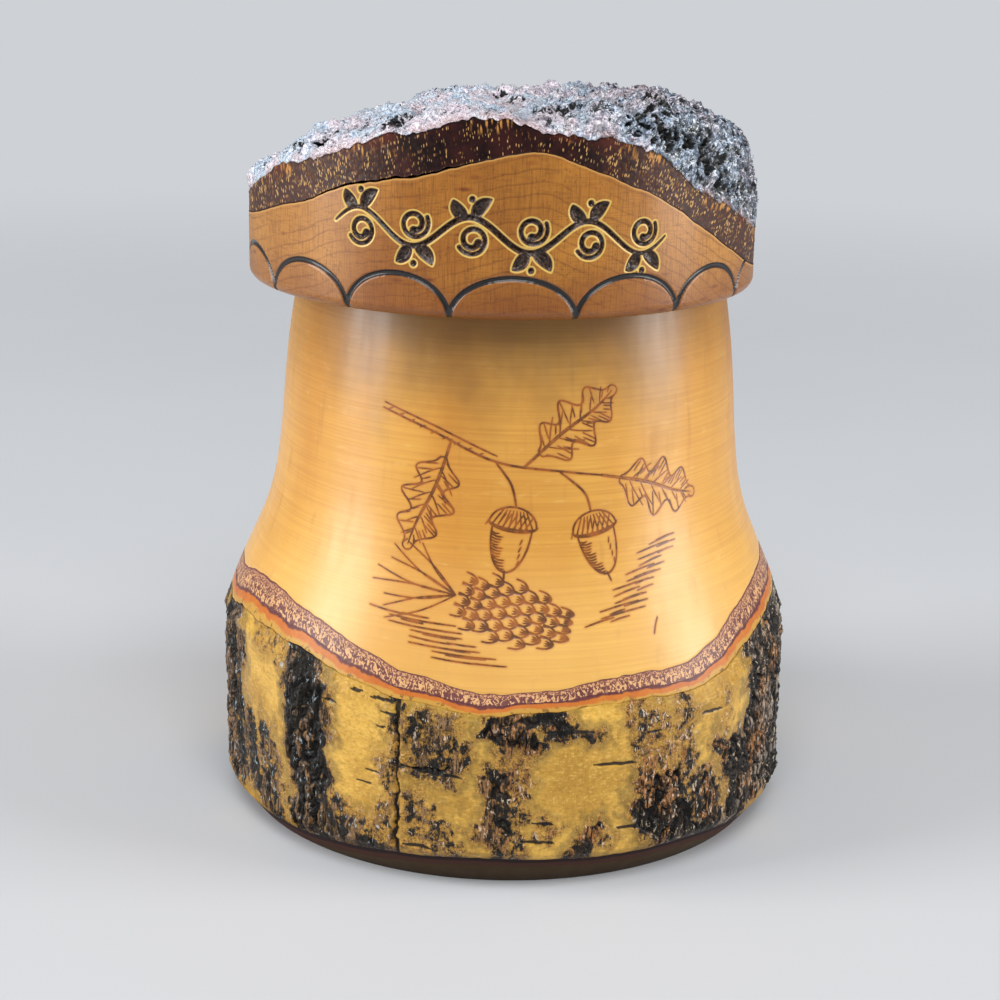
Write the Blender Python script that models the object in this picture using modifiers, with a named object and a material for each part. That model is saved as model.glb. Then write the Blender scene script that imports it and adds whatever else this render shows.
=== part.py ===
"""Turned trinket box of two pieces of log, with the bark left on.

The body is an upright length of birch-like log. Its neck is turned down to a smooth flare,
so the lathe's cut runs out through the layers of the log, one after the other: wood, inner bark,
cortex and outer bark. The lid is a round turned from a slab of a thick-barked log that lies on
its side, so its layers arch over it. It lifts off, and a ring under it drops into the body's mouth.

Metres, +Z up. The origin is the middle of the flat foot, and the front looks along -Y.
A bearing is an angle about +Z, zero at the front and growing towards +X.
"""
from math import cos, hypot, pi, sin, tau

import bmesh
import bpy
from mathutils import Matrix, Vector, noise

# Gaps and cutting
SKIN_GAP = 0.0003           # between two layers of a log, and between the lid and its seat
OVERRUN = 0.004             # how far a cutter reaches past what it cuts
MERGE_DISTANCE = 0.00002
ROUND_STEPS = 64            # facets round every turned or barked form

# Body, turned from a log
LOG_RADIUS = 0.0497         # of the log's wood, at the front
BODY_HEIGHT = 0.0919        # floor to the mouth's rim
FOOT_INSET = 0.0032
FOOT_RADIUS = LOG_RADIUS - FOOT_INSET       # flat ring that the box stands on
CHAMFER_HEIGHT = 0.0049     # the foot's chamfer, up to the bark's lower edge
CHAMFER_WIDTH = 0.0038
SKIRT_SPREAD = 0.0058       # how far past the log the flare aims, so that it cuts all its layers
SKIRT_RADIUS = LOG_RADIUS + SKIRT_SPREAD
SKIRT_HEIGHT = 0.0210
MOUTH_RADIUS = 0.0310       # bore of the cavity
MOUTH_WALL = 0.0058
MOUTH_ROUNDING = 0.0012
NECK_RADIUS = MOUTH_RADIUS + MOUTH_WALL     # outside of the mouth
CAVITY_FLOOR = 0.0120       # thickness of wood left under the cavity
CAVITY_CORNER = 0.0050

# The flare, as shares of the height and of the spread between skirt and neck
FLARE_SHARES = (
    (0.000, 1.000), (0.072, 0.898), (0.139, 0.775), (0.186, 0.690), (0.254, 0.594),
    (0.310, 0.503), (0.367, 0.406), (0.437, 0.299), (0.522, 0.214), (0.635, 0.158),
    (0.748, 0.123), (0.860, 0.080), (1.000, 0.000),
)

# Body, as grown: the log's wood and the layers of its bark, by bearing in steps of a turn / 18
INNER_BARK = 0.0018         # greatest thickness of each layer, its gap included
CORTEX = 0.0010
OUTER_BARK = 0.0024
LOG_SHARES = (
    1.000, 0.987, 0.981, 0.934, 0.910, 0.916, 0.930, 0.955, 0.972,
    0.980, 0.968, 0.950, 0.938, 0.936, 0.938, 0.924, 0.946, 0.981,
)
INNER_BARK_SHARES = (
    0.46, 0.50, 0.64, 0.88, 0.94, 0.96, 0.90, 0.80, 0.72,
    0.70, 0.76, 0.84, 0.90, 0.86, 0.80, 0.94, 0.74, 0.56,
)
CORTEX_SHARES = (
    0.64, 0.66, 0.72, 0.80, 0.90, 0.94, 0.90, 0.84, 0.80,
    0.78, 0.82, 0.88, 0.92, 0.86, 0.82, 0.98, 0.80, 0.70,
)
OUTER_BARK_SHARES = (
    0.46, 0.44, 0.60, 0.78, 0.84, 0.72, 0.60, 0.78, 0.62,
    0.56, 0.70, 0.60, 0.62, 0.44, 0.40, 0.48, 0.54, 0.44,
)
# Corky ridges that stand on the outer bark: bearing as a share of a turn, half width as a share
# of a turn, and height as a share of RIDGE_HEIGHT
RIDGE_HEIGHT = 0.0014
RIDGE_SHARES = (
    (0.163, 0.014, 0.60), (0.205, 0.016, 1.00), (0.262, 0.012, 0.70), (0.345, 0.014, 0.85),
    (0.430, 0.016, 0.70), (0.515, 0.012, 0.90), (0.590, 0.016, 0.75), (0.672, 0.013, 1.00),
    (0.748, 0.014, 0.35), (0.802, 0.011, 0.50), (0.893, 0.013, 0.80),
)
RIDGE_WANDER_SHARE = 0.012  # how far a ridge strays sideways on its way up, in turns
PATCH_HEIGHT = 0.0011       # how far a patch of cork stands out of the smooth bark
# Patches of cork on the front: place in turns and as a share of the log's height, half their width
# in turns, half their height as a share of the log's, and how far they stand as a share
PATCH_SHARES = (
    (0.918, 0.07, 0.026, 0.05, 0.75), (0.848, 0.14, 0.018, 0.10, 0.60), (0.146, 0.13, 0.020, 0.12, 0.90),
    (0.006, 0.31, 0.016, 0.04, 0.80), (0.003, 0.15, 0.013, 0.18, 0.60), (0.042, 0.09, 0.010, 0.06, 0.70),
    (0.084, 0.12, 0.022, 0.08, 1.00), (0.117, 0.10, 0.018, 0.09, 0.80),
)
CORK_DEPTH = 0.0011         # clefts between the lumps of cork on a ridge
CORK_LUMP = 0.0060          # length of one lump round the log
CORK_STRETCH = 1.8          # a lump is taller than wide by this much
BARK_LEVELS = 13
BARK_STEPS = 128

# Lid, turned
LID_OVERHANG = 0.0064       # past the neck
LID_RADIUS = NECK_RADIUS + LID_OVERHANG
LID_SHIFT = -0.0018         # the lid sits off the body's axis by this much, along X
RIM_ROUNDING = 0.0015
SPIGOT_CLEARANCE = 0.0006   # left at the tighter side of the mouth
SPIGOT_DEPTH = 0.0040
SPIGOT_WALL = 0.0045
RECESS_DEPTH = 0.0075       # hollow inside the spigot ring, from the ring's lower face
RECESS_CORNER = 0.0020

# Lid, as grown: heights over the rim at the front, from left to right across the arch
ARCH_HEIGHT = 0.0256        # crown of the wood
ARCH_FALL = 0.0050          # the log leans down towards the back by this much, over the lid's width
LID_INNER_BARK = 0.0065
CRUST = 0.0130              # the rough outer bark at its thickest
CRUST_EDGE = 0.0010         # unit of the crust's side profile
CRUST_ROUGHNESS = 0.0018
CRUST_LUMP = 0.0085         # length of one lump
CRUST_SWELL = 0.0200
CRUST_LEAST = 0.0013
CRUST_HOLLOW = 0.0034       # the deepest hollow in the crust
CRUST_HOLLOW_REACH = 0.0036 # from a hollow's middle to its edge
# Middles of the hollows, across and along the log as shares of the lid's radius, and share of the depth
CRUST_HOLLOW_SHARES = (
    (-0.47, -0.80, 0.70), (-0.30, -0.86, 0.45), (0.07, -0.86, 0.55), (0.24, -0.86, 0.60), (0.42, -0.74, 0.65),
    (0.61, -0.72, 1.00), (0.74, -0.60, 0.95), (0.82, -0.44, 0.80), (-0.72, -0.60, 0.40), (0.14, -0.66, 0.55),
    (-0.16, -0.66, 0.50), (0.50, 0.12, 0.90), (-0.28, 0.30, 0.75), (0.18, 0.58, 0.80), (-0.60, 0.44, 0.50),
    (0.00, -0.16, 0.70), (-0.44, -0.22, 0.60), (0.66, 0.50, 0.80), (0.34, -0.36, 0.55), (-0.14, 0.80, 0.60),
)
ARCH_STEPS = 40             # facets across the arch
CRUST_STEPS = 36            # facets of the crust along the log
ARCH_SHARES = (
    0.49, 0.58, 0.65, 0.755, 0.805, 0.845, 0.91, 0.97, 1.00, 0.92, 0.825, 0.72, 0.555, 0.375, 0.215,
)
LID_INNER_BARK_SHARES = (
    0.50, 0.96, 0.97, 0.86, 1.00, 0.98, 1.06, 0.84, 0.46, 0.66, 0.94, 0.97, 0.80, 0.98, 1.00,
)
CRUST_SHARES = (
    0.08, 0.10, 0.21, 0.26, 0.20, 0.26, 0.20, 0.18, 0.32, 0.48, 0.47, 0.66, 1.00, 1.00, 0.72,
)
# The crust's side, top to bottom: height as a share of the whole arch, and how far it stands out
# from the turned side in shares of its unit
CRUST_SIDE_SHARES = (
    (1.00, -9.0), (0.86, -5.0), (0.78, -2.6), (0.70, -1.0), (0.60, -0.2),
    (0.45, -0.3), (0.30, -0.2), (0.18, 0.1), (0.00, 0.0),
)

# Scallops burnt into the lid's side, a row of arches that stand on the rim
SCALLOP_COUNT = 15
SCALLOP_HEIGHT = 0.0066
SCALLOP_FOOT = 0.0008       # the arches' feet, under the rim
SCALLOP_GROOVE = 0.00065    # half the groove's width
SCALLOP_START_SHARE = 0.565 # first foot, as a share of one arch from the front
# The arches were set out by eye: how far each foot strays, as a share of one arch
SCALLOP_STRAY_SHARES = (
    0.09, 0.10, 0.04, 0.03, -0.04, 0.02, 0.04, -0.03, 0.0, 0.03, -0.02, -0.03, 0.01, 0.03, 0.0,
)
SCALLOP_POINTS = 9

# Colours as red, green, blue, and roughness
WOOD_COLOUR = ((0.62, 0.34, 0.10), 0.38)
INNER_BARK_COLOUR = ((0.20, 0.085, 0.060), 0.50)
CORTEX_COLOUR = ((0.66, 0.24, 0.035), 0.45)
OUTER_BARK_COLOUR = ((0.36, 0.24, 0.075), 0.62)
LID_WOOD_COLOUR = ((0.56, 0.25, 0.065), 0.36)
LID_INNER_BARK_COLOUR = ((0.085, 0.030, 0.022), 0.55)
CRUST_COLOUR = ((0.33, 0.31, 0.33), 0.75)


def clear_scene():
    for item in list(bpy.data.objects):
        bpy.data.objects.remove(item, do_unlink=True)
    for group in list(bpy.data.collections):
        bpy.data.collections.remove(group)


def new_collection(name):
    group = bpy.data.collections.new(name)
    bpy.context.scene.collection.children.link(group)
    return group


def new_material(name, colour, roughness):
    made = bpy.data.materials.new(name)
    made.use_nodes = True
    shader = made.node_tree.nodes["Principled BSDF"]
    shader.inputs["Base Color"].default_value = (*colour, 1.0)
    shader.inputs["Roughness"].default_value = roughness
    shader.inputs["Metallic"].default_value = 0.0
    return made


def new_object(name, data, group):
    made = bpy.data.objects.new(name, data)
    group.objects.link(made)
    return made


def finish(piece, finish_values):
    """Gives a piece its own material and smooth shading with crisp arrises."""
    frozen = frozen_mesh(piece)
    weld(frozen)
    piece.modifiers.clear()
    piece.data = frozen
    frozen.name = piece.name
    frozen.materials.clear()
    frozen.materials.append(new_material(piece.name, *finish_values))
    frozen.shade_smooth()
    frozen.set_sharp_from_angle(angle=pi / 5)
    return piece


def frozen_mesh(item):
    """The mesh of an object as its modifiers leave it."""
    bpy.context.view_layer.update()
    seen = item.evaluated_get(bpy.context.evaluated_depsgraph_get())
    return bpy.data.meshes.new_from_object(seen)


def hide_cutter(item):
    item.display_type = "WIRE"
    item.hide_render = True


def boolean(piece, cutter, operation):
    step = piece.modifiers.new(cutter.name, "BOOLEAN")
    step.operation = operation
    step.solver = "EXACT"
    step.object = cutter


def through_open(shares, place):
    """Smooth curve through evenly spaced shares; place runs from 0 to 1 and stops at the ends."""
    spot = min(max(place, 0.0), 1.0) * (len(shares) - 1)
    index = min(int(spot), len(shares) - 2)
    picks = [shares[min(max(index + k, 0), len(shares) - 1)] for k in (-1, 0, 1, 2)]
    return catmull(picks, spot - index)


def through_round(shares, turn):
    """The same for shares that go once round; turn is a share of a whole turn."""
    spot = (turn % 1.0) * len(shares)
    index = int(spot)
    picks = [shares[(index + k) % len(shares)] for k in (-1, 0, 1, 2)]
    return catmull(picks, spot - index)


def catmull(picks, t):
    a, b, c, d = picks
    rise = (c - a) / 2
    leave = (d - b) / 2
    cubic = 2 * b - 2 * c + rise + leave
    square = 3 * c - 3 * b - 2 * rise - leave
    return cubic * t ** 3 + square * t ** 2 + rise * t + b


def at_bearing(radius, turn, height):
    angle = turn * tau
    return Vector((radius * sin(angle), -radius * cos(angle), height))


def arc(centre, radius, start, end, count):
    """Points on an arc in the profile plane, both ends included; angles as shares of a turn."""
    points = []
    for k in range(count + 1):
        angle = (start + (end - start) * k / count) * tau
        points.append((centre[0] + radius * cos(angle), centre[1] + radius * sin(angle)))
    return points


def turned(name, profile, group):
    """A profile of radius and height pairs, swept once round Z."""
    mesh = bpy.data.meshes.new(name)
    corners = [(radius, 0.0, height) for radius, height in profile]
    mesh.from_pydata(corners, [(k, k + 1) for k in range(len(corners) - 1)], [])
    item = new_object(name, mesh, group)
    sweep = item.modifiers.new("Turn", "SCREW")
    sweep.axis = "Z"
    sweep.angle = tau
    sweep.steps = ROUND_STEPS
    sweep.render_steps = ROUND_STEPS
    sweep.use_merge_vertices = True
    sweep.merge_threshold = MERGE_DISTANCE
    sweep.use_normal_calculate = True
    return item


# The body's log


def flare_profile():
    """The flare from the mouth down to the skirt."""
    points = []
    for height_share, spread_share in reversed(FLARE_SHARES):
        radius = NECK_RADIUS + (SKIRT_RADIUS - NECK_RADIUS) * spread_share
        height = SKIRT_HEIGHT + (BODY_HEIGHT - SKIRT_HEIGHT) * height_share
        points.append((radius, height))
    return points


def chamfer_profile():
    """The foot's chamfer, carried on out to the skirt's radius, and the flat foot."""
    slope = CHAMFER_HEIGHT / CHAMFER_WIDTH
    reach = (SKIRT_RADIUS - FOOT_RADIUS) * slope
    return [(SKIRT_RADIUS, reach), (FOOT_RADIUS, 0.0), (0.0, 0.0)]


def wood_radius(turn):
    return LOG_RADIUS * through_round(LOG_SHARES, turn)


def inner_bark_radius(turn):
    return wood_radius(turn) + INNER_BARK * through_round(INNER_BARK_SHARES, turn)


def cortex_radius(turn):
    return inner_bark_radius(turn) + CORTEX * through_round(CORTEX_SHARES, turn)


def ridge(turn, height):
    """Height of the corky ridges at one spot of the outer bark."""
    tallest = 0.0
    for index, (place, half_width, share) in enumerate(RIDGE_SHARES):
        stray = RIDGE_WANDER_SHARE * sin((height / BODY_HEIGHT + place) * tau + index)
        away = abs((turn - place - stray + 0.5) % 1.0 - 0.5)
        if away < half_width:
            tallest = max(tallest, share * cos(away / half_width * pi / 2) ** 2)
    return RIDGE_HEIGHT * tallest


def cork_patch(turn, height):
    """How far the front's patches of cork stand out at one spot."""
    tallest = 0.0
    for place, up, half_width, half_height, share in PATCH_SHARES:
        aside = ((turn - place + 0.5) % 1.0 - 0.5) / half_width
        away = hypot(aside, (height / BODY_HEIGHT - up) / half_height)
        if away < 1.0:
            tallest = max(tallest, share * cos(away * pi / 2) ** 2)
    return PATCH_HEIGHT * tallest


def cork_cleft(turn, height):
    """Depth between the lumps of cork, as a share: full between them and none on their tops."""
    spot = at_bearing(LOG_RADIUS, turn, height / CORK_STRETCH)
    lump = noise.fractal(spot / CORK_LUMP, 1.0, 2.0, 2)
    return min(max(0.5 - lump, 0.0), 1.0)


def bark_radius(turn, height):
    """Radius of the outer bark: ridges and patches of cork on its smooth skin, with clefts in both."""
    stand = max(ridge(turn, height), cork_patch(turn, height))
    stand -= CORK_DEPTH * stand / RIDGE_HEIGHT * cork_cleft(turn, height)
    return cortex_radius(turn) + OUTER_BARK * through_round(OUTER_BARK_SHARES, turn) + stand


def log_layer(name, outside, inside, group):
    """A length of the log between two natural outlines, or solid to the middle."""
    outline = bpy.data.curves.new(name, "CURVE")
    outline.dimensions = "2D"
    outline.fill_mode = "BOTH"
    outline.extrude = BODY_HEIGHT / 2 + OVERRUN
    for radius_at, gap in ((outside, 0.0), (inside, SKIN_GAP)):
        if radius_at is None:
            continue
        ring = outline.splines.new("POLY")
        ring.points.add(ROUND_STEPS - 1)
        ring.use_cyclic_u = True
        for k, point in enumerate(ring.points):
            turn = k / ROUND_STEPS
            point.co = (*at_bearing(radius_at(turn) + gap, turn, 0.0), 1.0)
    drawn = new_object(name + "_outline", outline, group)
    drawn.location.z = BODY_HEIGHT / 2
    mesh = frozen_mesh(drawn)
    mesh.transform(drawn.matrix_world)
    bpy.data.objects.remove(drawn, do_unlink=True)
    weld(mesh)
    return new_object(name, mesh, group)


def weld(mesh):
    work = bmesh.new()
    work.from_mesh(mesh)
    bmesh.ops.remove_doubles(work, verts=work.verts, dist=MERGE_DISTANCE)
    bmesh.ops.recalc_face_normals(work, faces=work.faces)
    work.to_mesh(mesh)
    work.free()


def outer_bark_blank(name, group):
    """A loft round the log: smooth inside, ridged outside."""
    low = 0.0
    high = BODY_HEIGHT / 2
    columns = []
    for k in range(BARK_STEPS):
        turn = k / BARK_STEPS
        inside = cortex_radius(turn) + SKIN_GAP
        loop = [at_bearing(inside, turn, high), at_bearing(inside, turn, low)]
        for level in range(BARK_LEVELS):
            height = low + (high - low) * level / (BARK_LEVELS - 1)
            loop.append(at_bearing(bark_radius(turn, height), turn, height))
        columns.append(loop)
    return new_object(name, ring_mesh(name, columns), group)


def ring_mesh(name, columns):
    """Joins closed cross sections, one beside the other, into a ring."""
    size = len(columns[0])
    corners = [point for loop in columns for point in loop]
    faces = []
    for k in range(len(columns)):
        here = k * size
        there = (k + 1) % len(columns) * size
        for j in range(size):
            after = (j + 1) % size
            faces.append((here + j, there + j, there + after, here + after))
    mesh = bpy.data.meshes.new(name)
    mesh.from_pydata(corners, [], faces)
    weld(mesh)
    return mesh


def make_body(parts, cutters):
    lathe = turned("body_lathe_cut", [(0.0, BODY_HEIGHT)] + flare_profile() + chamfer_profile(), cutters)
    hide_cutter(lathe)
    log = log_layer("body_log", wood_radius, None, cutters)
    hide_cutter(log)

    rim = BODY_HEIGHT - MOUTH_ROUNDING
    mouth = arc((MOUTH_RADIUS + MOUTH_ROUNDING, rim), MOUTH_ROUNDING, 0.5, 0.25, 4)
    corner_middle = (MOUTH_RADIUS - CAVITY_CORNER, CAVITY_FLOOR + CAVITY_CORNER)
    corner = arc(corner_middle, CAVITY_CORNER, 0.75, 1.0, 5)
    cavity = [(0.0, CAVITY_FLOOR)] + corner + mouth
    wood = turned("body_wood", cavity + flare_profile() + chamfer_profile(), parts)
    boolean(wood, log, "INTERSECT")
    finish(wood, WOOD_COLOUR)

    inner = log_layer("body_inner_bark", inner_bark_radius, wood_radius, parts)
    boolean(inner, lathe, "INTERSECT")
    finish(inner, INNER_BARK_COLOUR)

    cortex = log_layer("body_cortex", cortex_radius, inner_bark_radius, parts)
    boolean(cortex, lathe, "INTERSECT")
    finish(cortex, CORTEX_COLOUR)

    bark = outer_bark_blank("body_outer_bark", parts)
    boolean(bark, lathe, "INTERSECT")
    finish(bark, OUTER_BARK_COLOUR)


# The lid's log lies along Y. Heights are over the lid's rim.


def across(x):
    return (x / LID_RADIUS + 1) / 2


def arch_height(x):
    return ARCH_HEIGHT * through_open(ARCH_SHARES, across(x))


def inner_arch_height(x):
    return arch_height(x) + LID_INNER_BARK * through_open(LID_INNER_BARK_SHARES, across(x))


def crust_hollow(x, y):
    """Depth of the crust's hollows at one spot."""
    deepest = 0.0
    for x_share, y_share, share in CRUST_HOLLOW_SHARES:
        away = hypot(x - x_share * LID_RADIUS, y - y_share * LID_RADIUS) / CRUST_HOLLOW_REACH
        if away < 1.0:
            deepest = max(deepest, share * cos(away * pi / 2) ** 2)
    return CRUST_HOLLOW * deepest


def crust_height(x, y):
    """Top of the crust: its thickness over the arch, with lumps and hollows."""
    thickness = CRUST * through_open(CRUST_SHARES, across(x))
    lump = noise.fractal(Vector((x, y, 0.0)) / CRUST_LUMP, 1.0, 2.0, 3)
    swell = noise.noise(Vector((x, y, CRUST)) / CRUST_SWELL)
    thickness += CRUST_ROUGHNESS * (lump + swell) - crust_hollow(x, y)
    return inner_arch_height(x) + SKIN_GAP + max(thickness, CRUST_LEAST)


def lean_matrix():
    """Lets the arch fall towards the back, from its full height at the front."""
    slope = ARCH_FALL / (2 * LID_RADIUS)
    lean = Matrix.Identity(4)
    lean[2][1] = -slope
    lean[2][3] = -slope * LID_RADIUS
    return lean


def blank_reach():
    """Half the width of the lid's blank: half a facet wider than the lid on each side."""
    return LID_RADIUS * ARCH_STEPS / (ARCH_STEPS - 1)


def stations():
    """Evenly spaced places from one side of the lid's blank to the other."""
    return [blank_reach() * (2 * k / ARCH_STEPS - 1) for k in range(ARCH_STEPS + 1)]


def arch_layer(name, upper, lower, group):
    """A layer of the lying log: an outline across the arch, extruded along the log."""
    outline = bpy.data.curves.new(name, "CURVE")
    outline.dimensions = "2D"
    outline.fill_mode = "BOTH"
    outline.extrude = LID_RADIUS + OVERRUN
    rim = outline.splines.new("POLY")
    places = stations()
    corners = [(x, upper(x)) for x in places] + [(x, lower(x)) for x in reversed(places)]
    rim.points.add(len(corners) - 1)
    rim.use_cyclic_u = True
    for point, (x, z) in zip(rim.points, corners):
        point.co = (x, z, 0.0, 1.0)
    drawn = new_object(name + "_outline", outline, group)
    drawn.rotation_euler.x = pi / 2
    mesh = frozen_mesh(drawn)
    mesh.transform(lean_matrix() @ drawn.matrix_world)
    bpy.data.objects.remove(drawn, do_unlink=True)
    weld(mesh)
    return new_object(name, mesh, group)


def crust_blank(name, group):
    """The crust before the lathe trims it: a lumpy sheet, thickened down onto the inner bark."""
    work = bmesh.new()
    bmesh.ops.create_grid(work, x_segments=ARCH_STEPS, y_segments=CRUST_STEPS, size=blank_reach())
    sheet = list(work.faces)
    raised = bmesh.ops.extrude_face_region(work, geom=sheet)
    upper = [item for item in raised["geom"] if isinstance(item, bmesh.types.BMVert)]
    upper_set = set(upper)
    for corner in work.verts:
        x, y = corner.co.xy
        corner.co.z = crust_height(x, y) if corner in upper_set else inner_arch_height(x) + SKIN_GAP
    below = {face for face in work.faces if not upper_set.intersection(face.verts)}
    rungs = []
    for edge in work.edges:
        first, second = edge.verts
        if below.issuperset(edge.link_faces) and abs(first.co.y - second.co.y) < MERGE_DISTANCE:
            rungs.append(edge)
    bmesh.ops.dissolve_edges(work, edges=rungs, use_verts=True)
    mesh = bpy.data.meshes.new(name)
    work.to_mesh(mesh)
    work.free()
    mesh.transform(lean_matrix())
    weld(mesh)
    return new_object(name, mesh, group)


def crust_lathe_profile():
    """The crust's side: flush with the turned wood below, and rounded in towards its top."""
    crown = ARCH_HEIGHT + LID_INNER_BARK + CRUST
    points = [(0.0, crown)]
    for height_share, stand_share in CRUST_SIDE_SHARES:
        points.append((LID_RADIUS + CRUST_EDGE * stand_share, crown * height_share))
    return points + [(0.0, 0.0)]


def make_lid_wood(parts, cutters):
    spigot = MOUTH_RADIUS - abs(LID_SHIFT) - SPIGOT_CLEARANCE
    hollow = spigot - SPIGOT_WALL
    top = ARCH_HEIGHT + OVERRUN
    ceiling = RECESS_DEPTH - SPIGOT_DEPTH
    profile = [(0.0, top), (LID_RADIUS, top)]
    profile += arc((LID_RADIUS - RIM_ROUNDING, RIM_ROUNDING), RIM_ROUNDING, 0.0, -0.25, 4)
    profile += [(spigot, 0.0), (spigot, -SPIGOT_DEPTH), (hollow, -SPIGOT_DEPTH)]
    profile += arc((hollow - RECESS_CORNER, ceiling - RECESS_CORNER), RECESS_CORNER, 0.0, 0.25, 4)
    profile += [(0.0, ceiling)]
    wood = turned("lid_wood", profile, parts)
    log = arch_layer("lid_log", arch_height, lambda x: -SPIGOT_DEPTH - OVERRUN, cutters)
    hide_cutter(log)
    boolean(wood, log, "INTERSECT")
    for index in range(SCALLOP_COUNT):
        boolean(wood, scallop_cutter(index, cutters), "DIFFERENCE")
    return finish(wood, LID_WOOD_COLOUR)


def scallop_cutter(index, cutters):
    """A round tube bent into one arch on the lid's side."""
    name = "scallop_" + str(index + 1)
    path = bpy.data.curves.new(name, "CURVE")
    path.dimensions = "3D"
    path.bevel_depth = SCALLOP_GROOVE
    path.bevel_resolution = 1
    path.use_fill_caps = True
    from_foot = SCALLOP_STRAY_SHARES[index % len(SCALLOP_STRAY_SHARES)]
    to_foot = SCALLOP_STRAY_SHARES[(index + 1) % len(SCALLOP_STRAY_SHARES)]
    arch = path.splines.new("POLY")
    arch.points.add(SCALLOP_POINTS - 1)
    for k, point in enumerate(arch.points):
        angle = pi * k / (SCALLOP_POINTS - 1)
        across_share = (1 - cos(angle)) / 2
        stray = from_foot + (to_foot - from_foot) * across_share
        turn = (index + SCALLOP_START_SHARE + across_share + stray) / SCALLOP_COUNT
        height = (SCALLOP_HEIGHT + SCALLOP_FOOT) * sin(angle) - SCALLOP_FOOT
        point.co = (*at_bearing(LID_RADIUS, turn, height), 1.0)
    drawn = new_object(name + "_path", path, cutters)
    mesh = frozen_mesh(drawn)
    bpy.data.objects.remove(drawn, do_unlink=True)
    weld(mesh)
    cutter = new_object(name, mesh, cutters)
    hide_cutter(cutter)
    return cutter


def make_lid(parts, cutters):
    wood = make_lid_wood(parts, cutters)

    crown = ARCH_HEIGHT + LID_INNER_BARK + CRUST
    side = turned("lid_lathe_cut", [(0.0, crown), (LID_RADIUS, crown), (LID_RADIUS, 0.0), (0.0, 0.0)], cutters)
    hide_cutter(side)
    inner = arch_layer("lid_inner_bark", inner_arch_height, lambda x: arch_height(x) + SKIN_GAP, parts)
    boolean(inner, side, "INTERSECT")
    finish(inner, LID_INNER_BARK_COLOUR)

    crust_side = turned("crust_lathe_cut", crust_lathe_profile(), cutters)
    hide_cutter(crust_side)
    crust = crust_blank("lid_outer_bark", parts)
    boolean(crust, crust_side, "INTERSECT")
    finish(crust, CRUST_COLOUR)

    lift = new_object("lid_lift", None, parts)
    lift.location = (LID_SHIFT, 0.0, BODY_HEIGHT + SKIN_GAP)
    for piece in (wood, inner, crust):
        piece.parent = lift


def main():
    clear_scene()
    parts = new_collection("bark_trinket_box")
    cutters = new_collection("cutters")
    make_body(parts, cutters)
    make_lid(parts, cutters)


main()
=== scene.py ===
"""Looks for the bark trinket box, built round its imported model.

Each grown layer of the two logs is a fine mesh with its relief modelled: the turned wood with its
burnt drawing and carved vine, the grained inner barks, the corky outer bark and the lid's crust.
Metres and +Z up, as in the model. A bearing is an angle about +Z, zero at the front (-Y) and
growing towards +X; a turn is a whole circle of it.
"""
from math import cos, pi, radians, sin, tau

import bmesh
import bpy
import numpy as np
from mathutils import Matrix, Vector, noise as blender_noise


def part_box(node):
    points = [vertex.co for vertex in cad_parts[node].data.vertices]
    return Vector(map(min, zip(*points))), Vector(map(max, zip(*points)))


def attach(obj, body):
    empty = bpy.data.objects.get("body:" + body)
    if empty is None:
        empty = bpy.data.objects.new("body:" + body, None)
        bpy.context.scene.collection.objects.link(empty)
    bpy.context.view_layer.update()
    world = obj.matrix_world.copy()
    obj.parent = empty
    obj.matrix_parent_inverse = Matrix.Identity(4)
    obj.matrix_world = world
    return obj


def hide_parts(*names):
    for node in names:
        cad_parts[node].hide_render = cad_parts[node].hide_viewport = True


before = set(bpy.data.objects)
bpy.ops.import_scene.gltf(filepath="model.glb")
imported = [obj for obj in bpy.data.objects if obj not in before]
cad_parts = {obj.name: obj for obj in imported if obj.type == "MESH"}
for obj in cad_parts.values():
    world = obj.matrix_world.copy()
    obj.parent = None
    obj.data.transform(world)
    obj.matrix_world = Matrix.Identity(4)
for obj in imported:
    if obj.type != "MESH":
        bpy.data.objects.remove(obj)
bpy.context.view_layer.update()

MM = 0.001

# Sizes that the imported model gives
BODY_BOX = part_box("body_wood")
LID_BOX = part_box("lid_wood")
BODY_HEIGHT = BODY_BOX[1].z
LID_RADIUS = (LID_BOX[1].x - LID_BOX[0].x) / 2
LID_CENTRE = (LID_BOX[1].x + LID_BOX[0].x) / 2

# Turned body
LOG_RADIUS = 49.7 * MM
FOOT_RADIUS = 46.5 * MM
FOOT_SLOPE = 4.9 / 3.8
NECK_RADIUS = 36.8 * MM
SKIRT_RADIUS = 55.5 * MM
SKIRT_HEIGHT = 21.0 * MM
MOUTH_RADIUS = 31.0 * MM
MOUTH_ROUNDING = 1.2 * MM
CAVITY_FLOOR = 12.0 * MM
CAVITY_CORNER = 5.0 * MM
# Height and spread of the flare, as shares of the way from skirt to mouth
FLARE_SHARES = (
    (0.000, 1.000), (0.072, 0.898), (0.139, 0.775), (0.186, 0.690), (0.254, 0.594),
    (0.310, 0.503), (0.367, 0.406), (0.437, 0.299), (0.522, 0.214), (0.635, 0.158),
    (0.748, 0.123), (0.860, 0.080), (1.000, 0.000),
)

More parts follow.
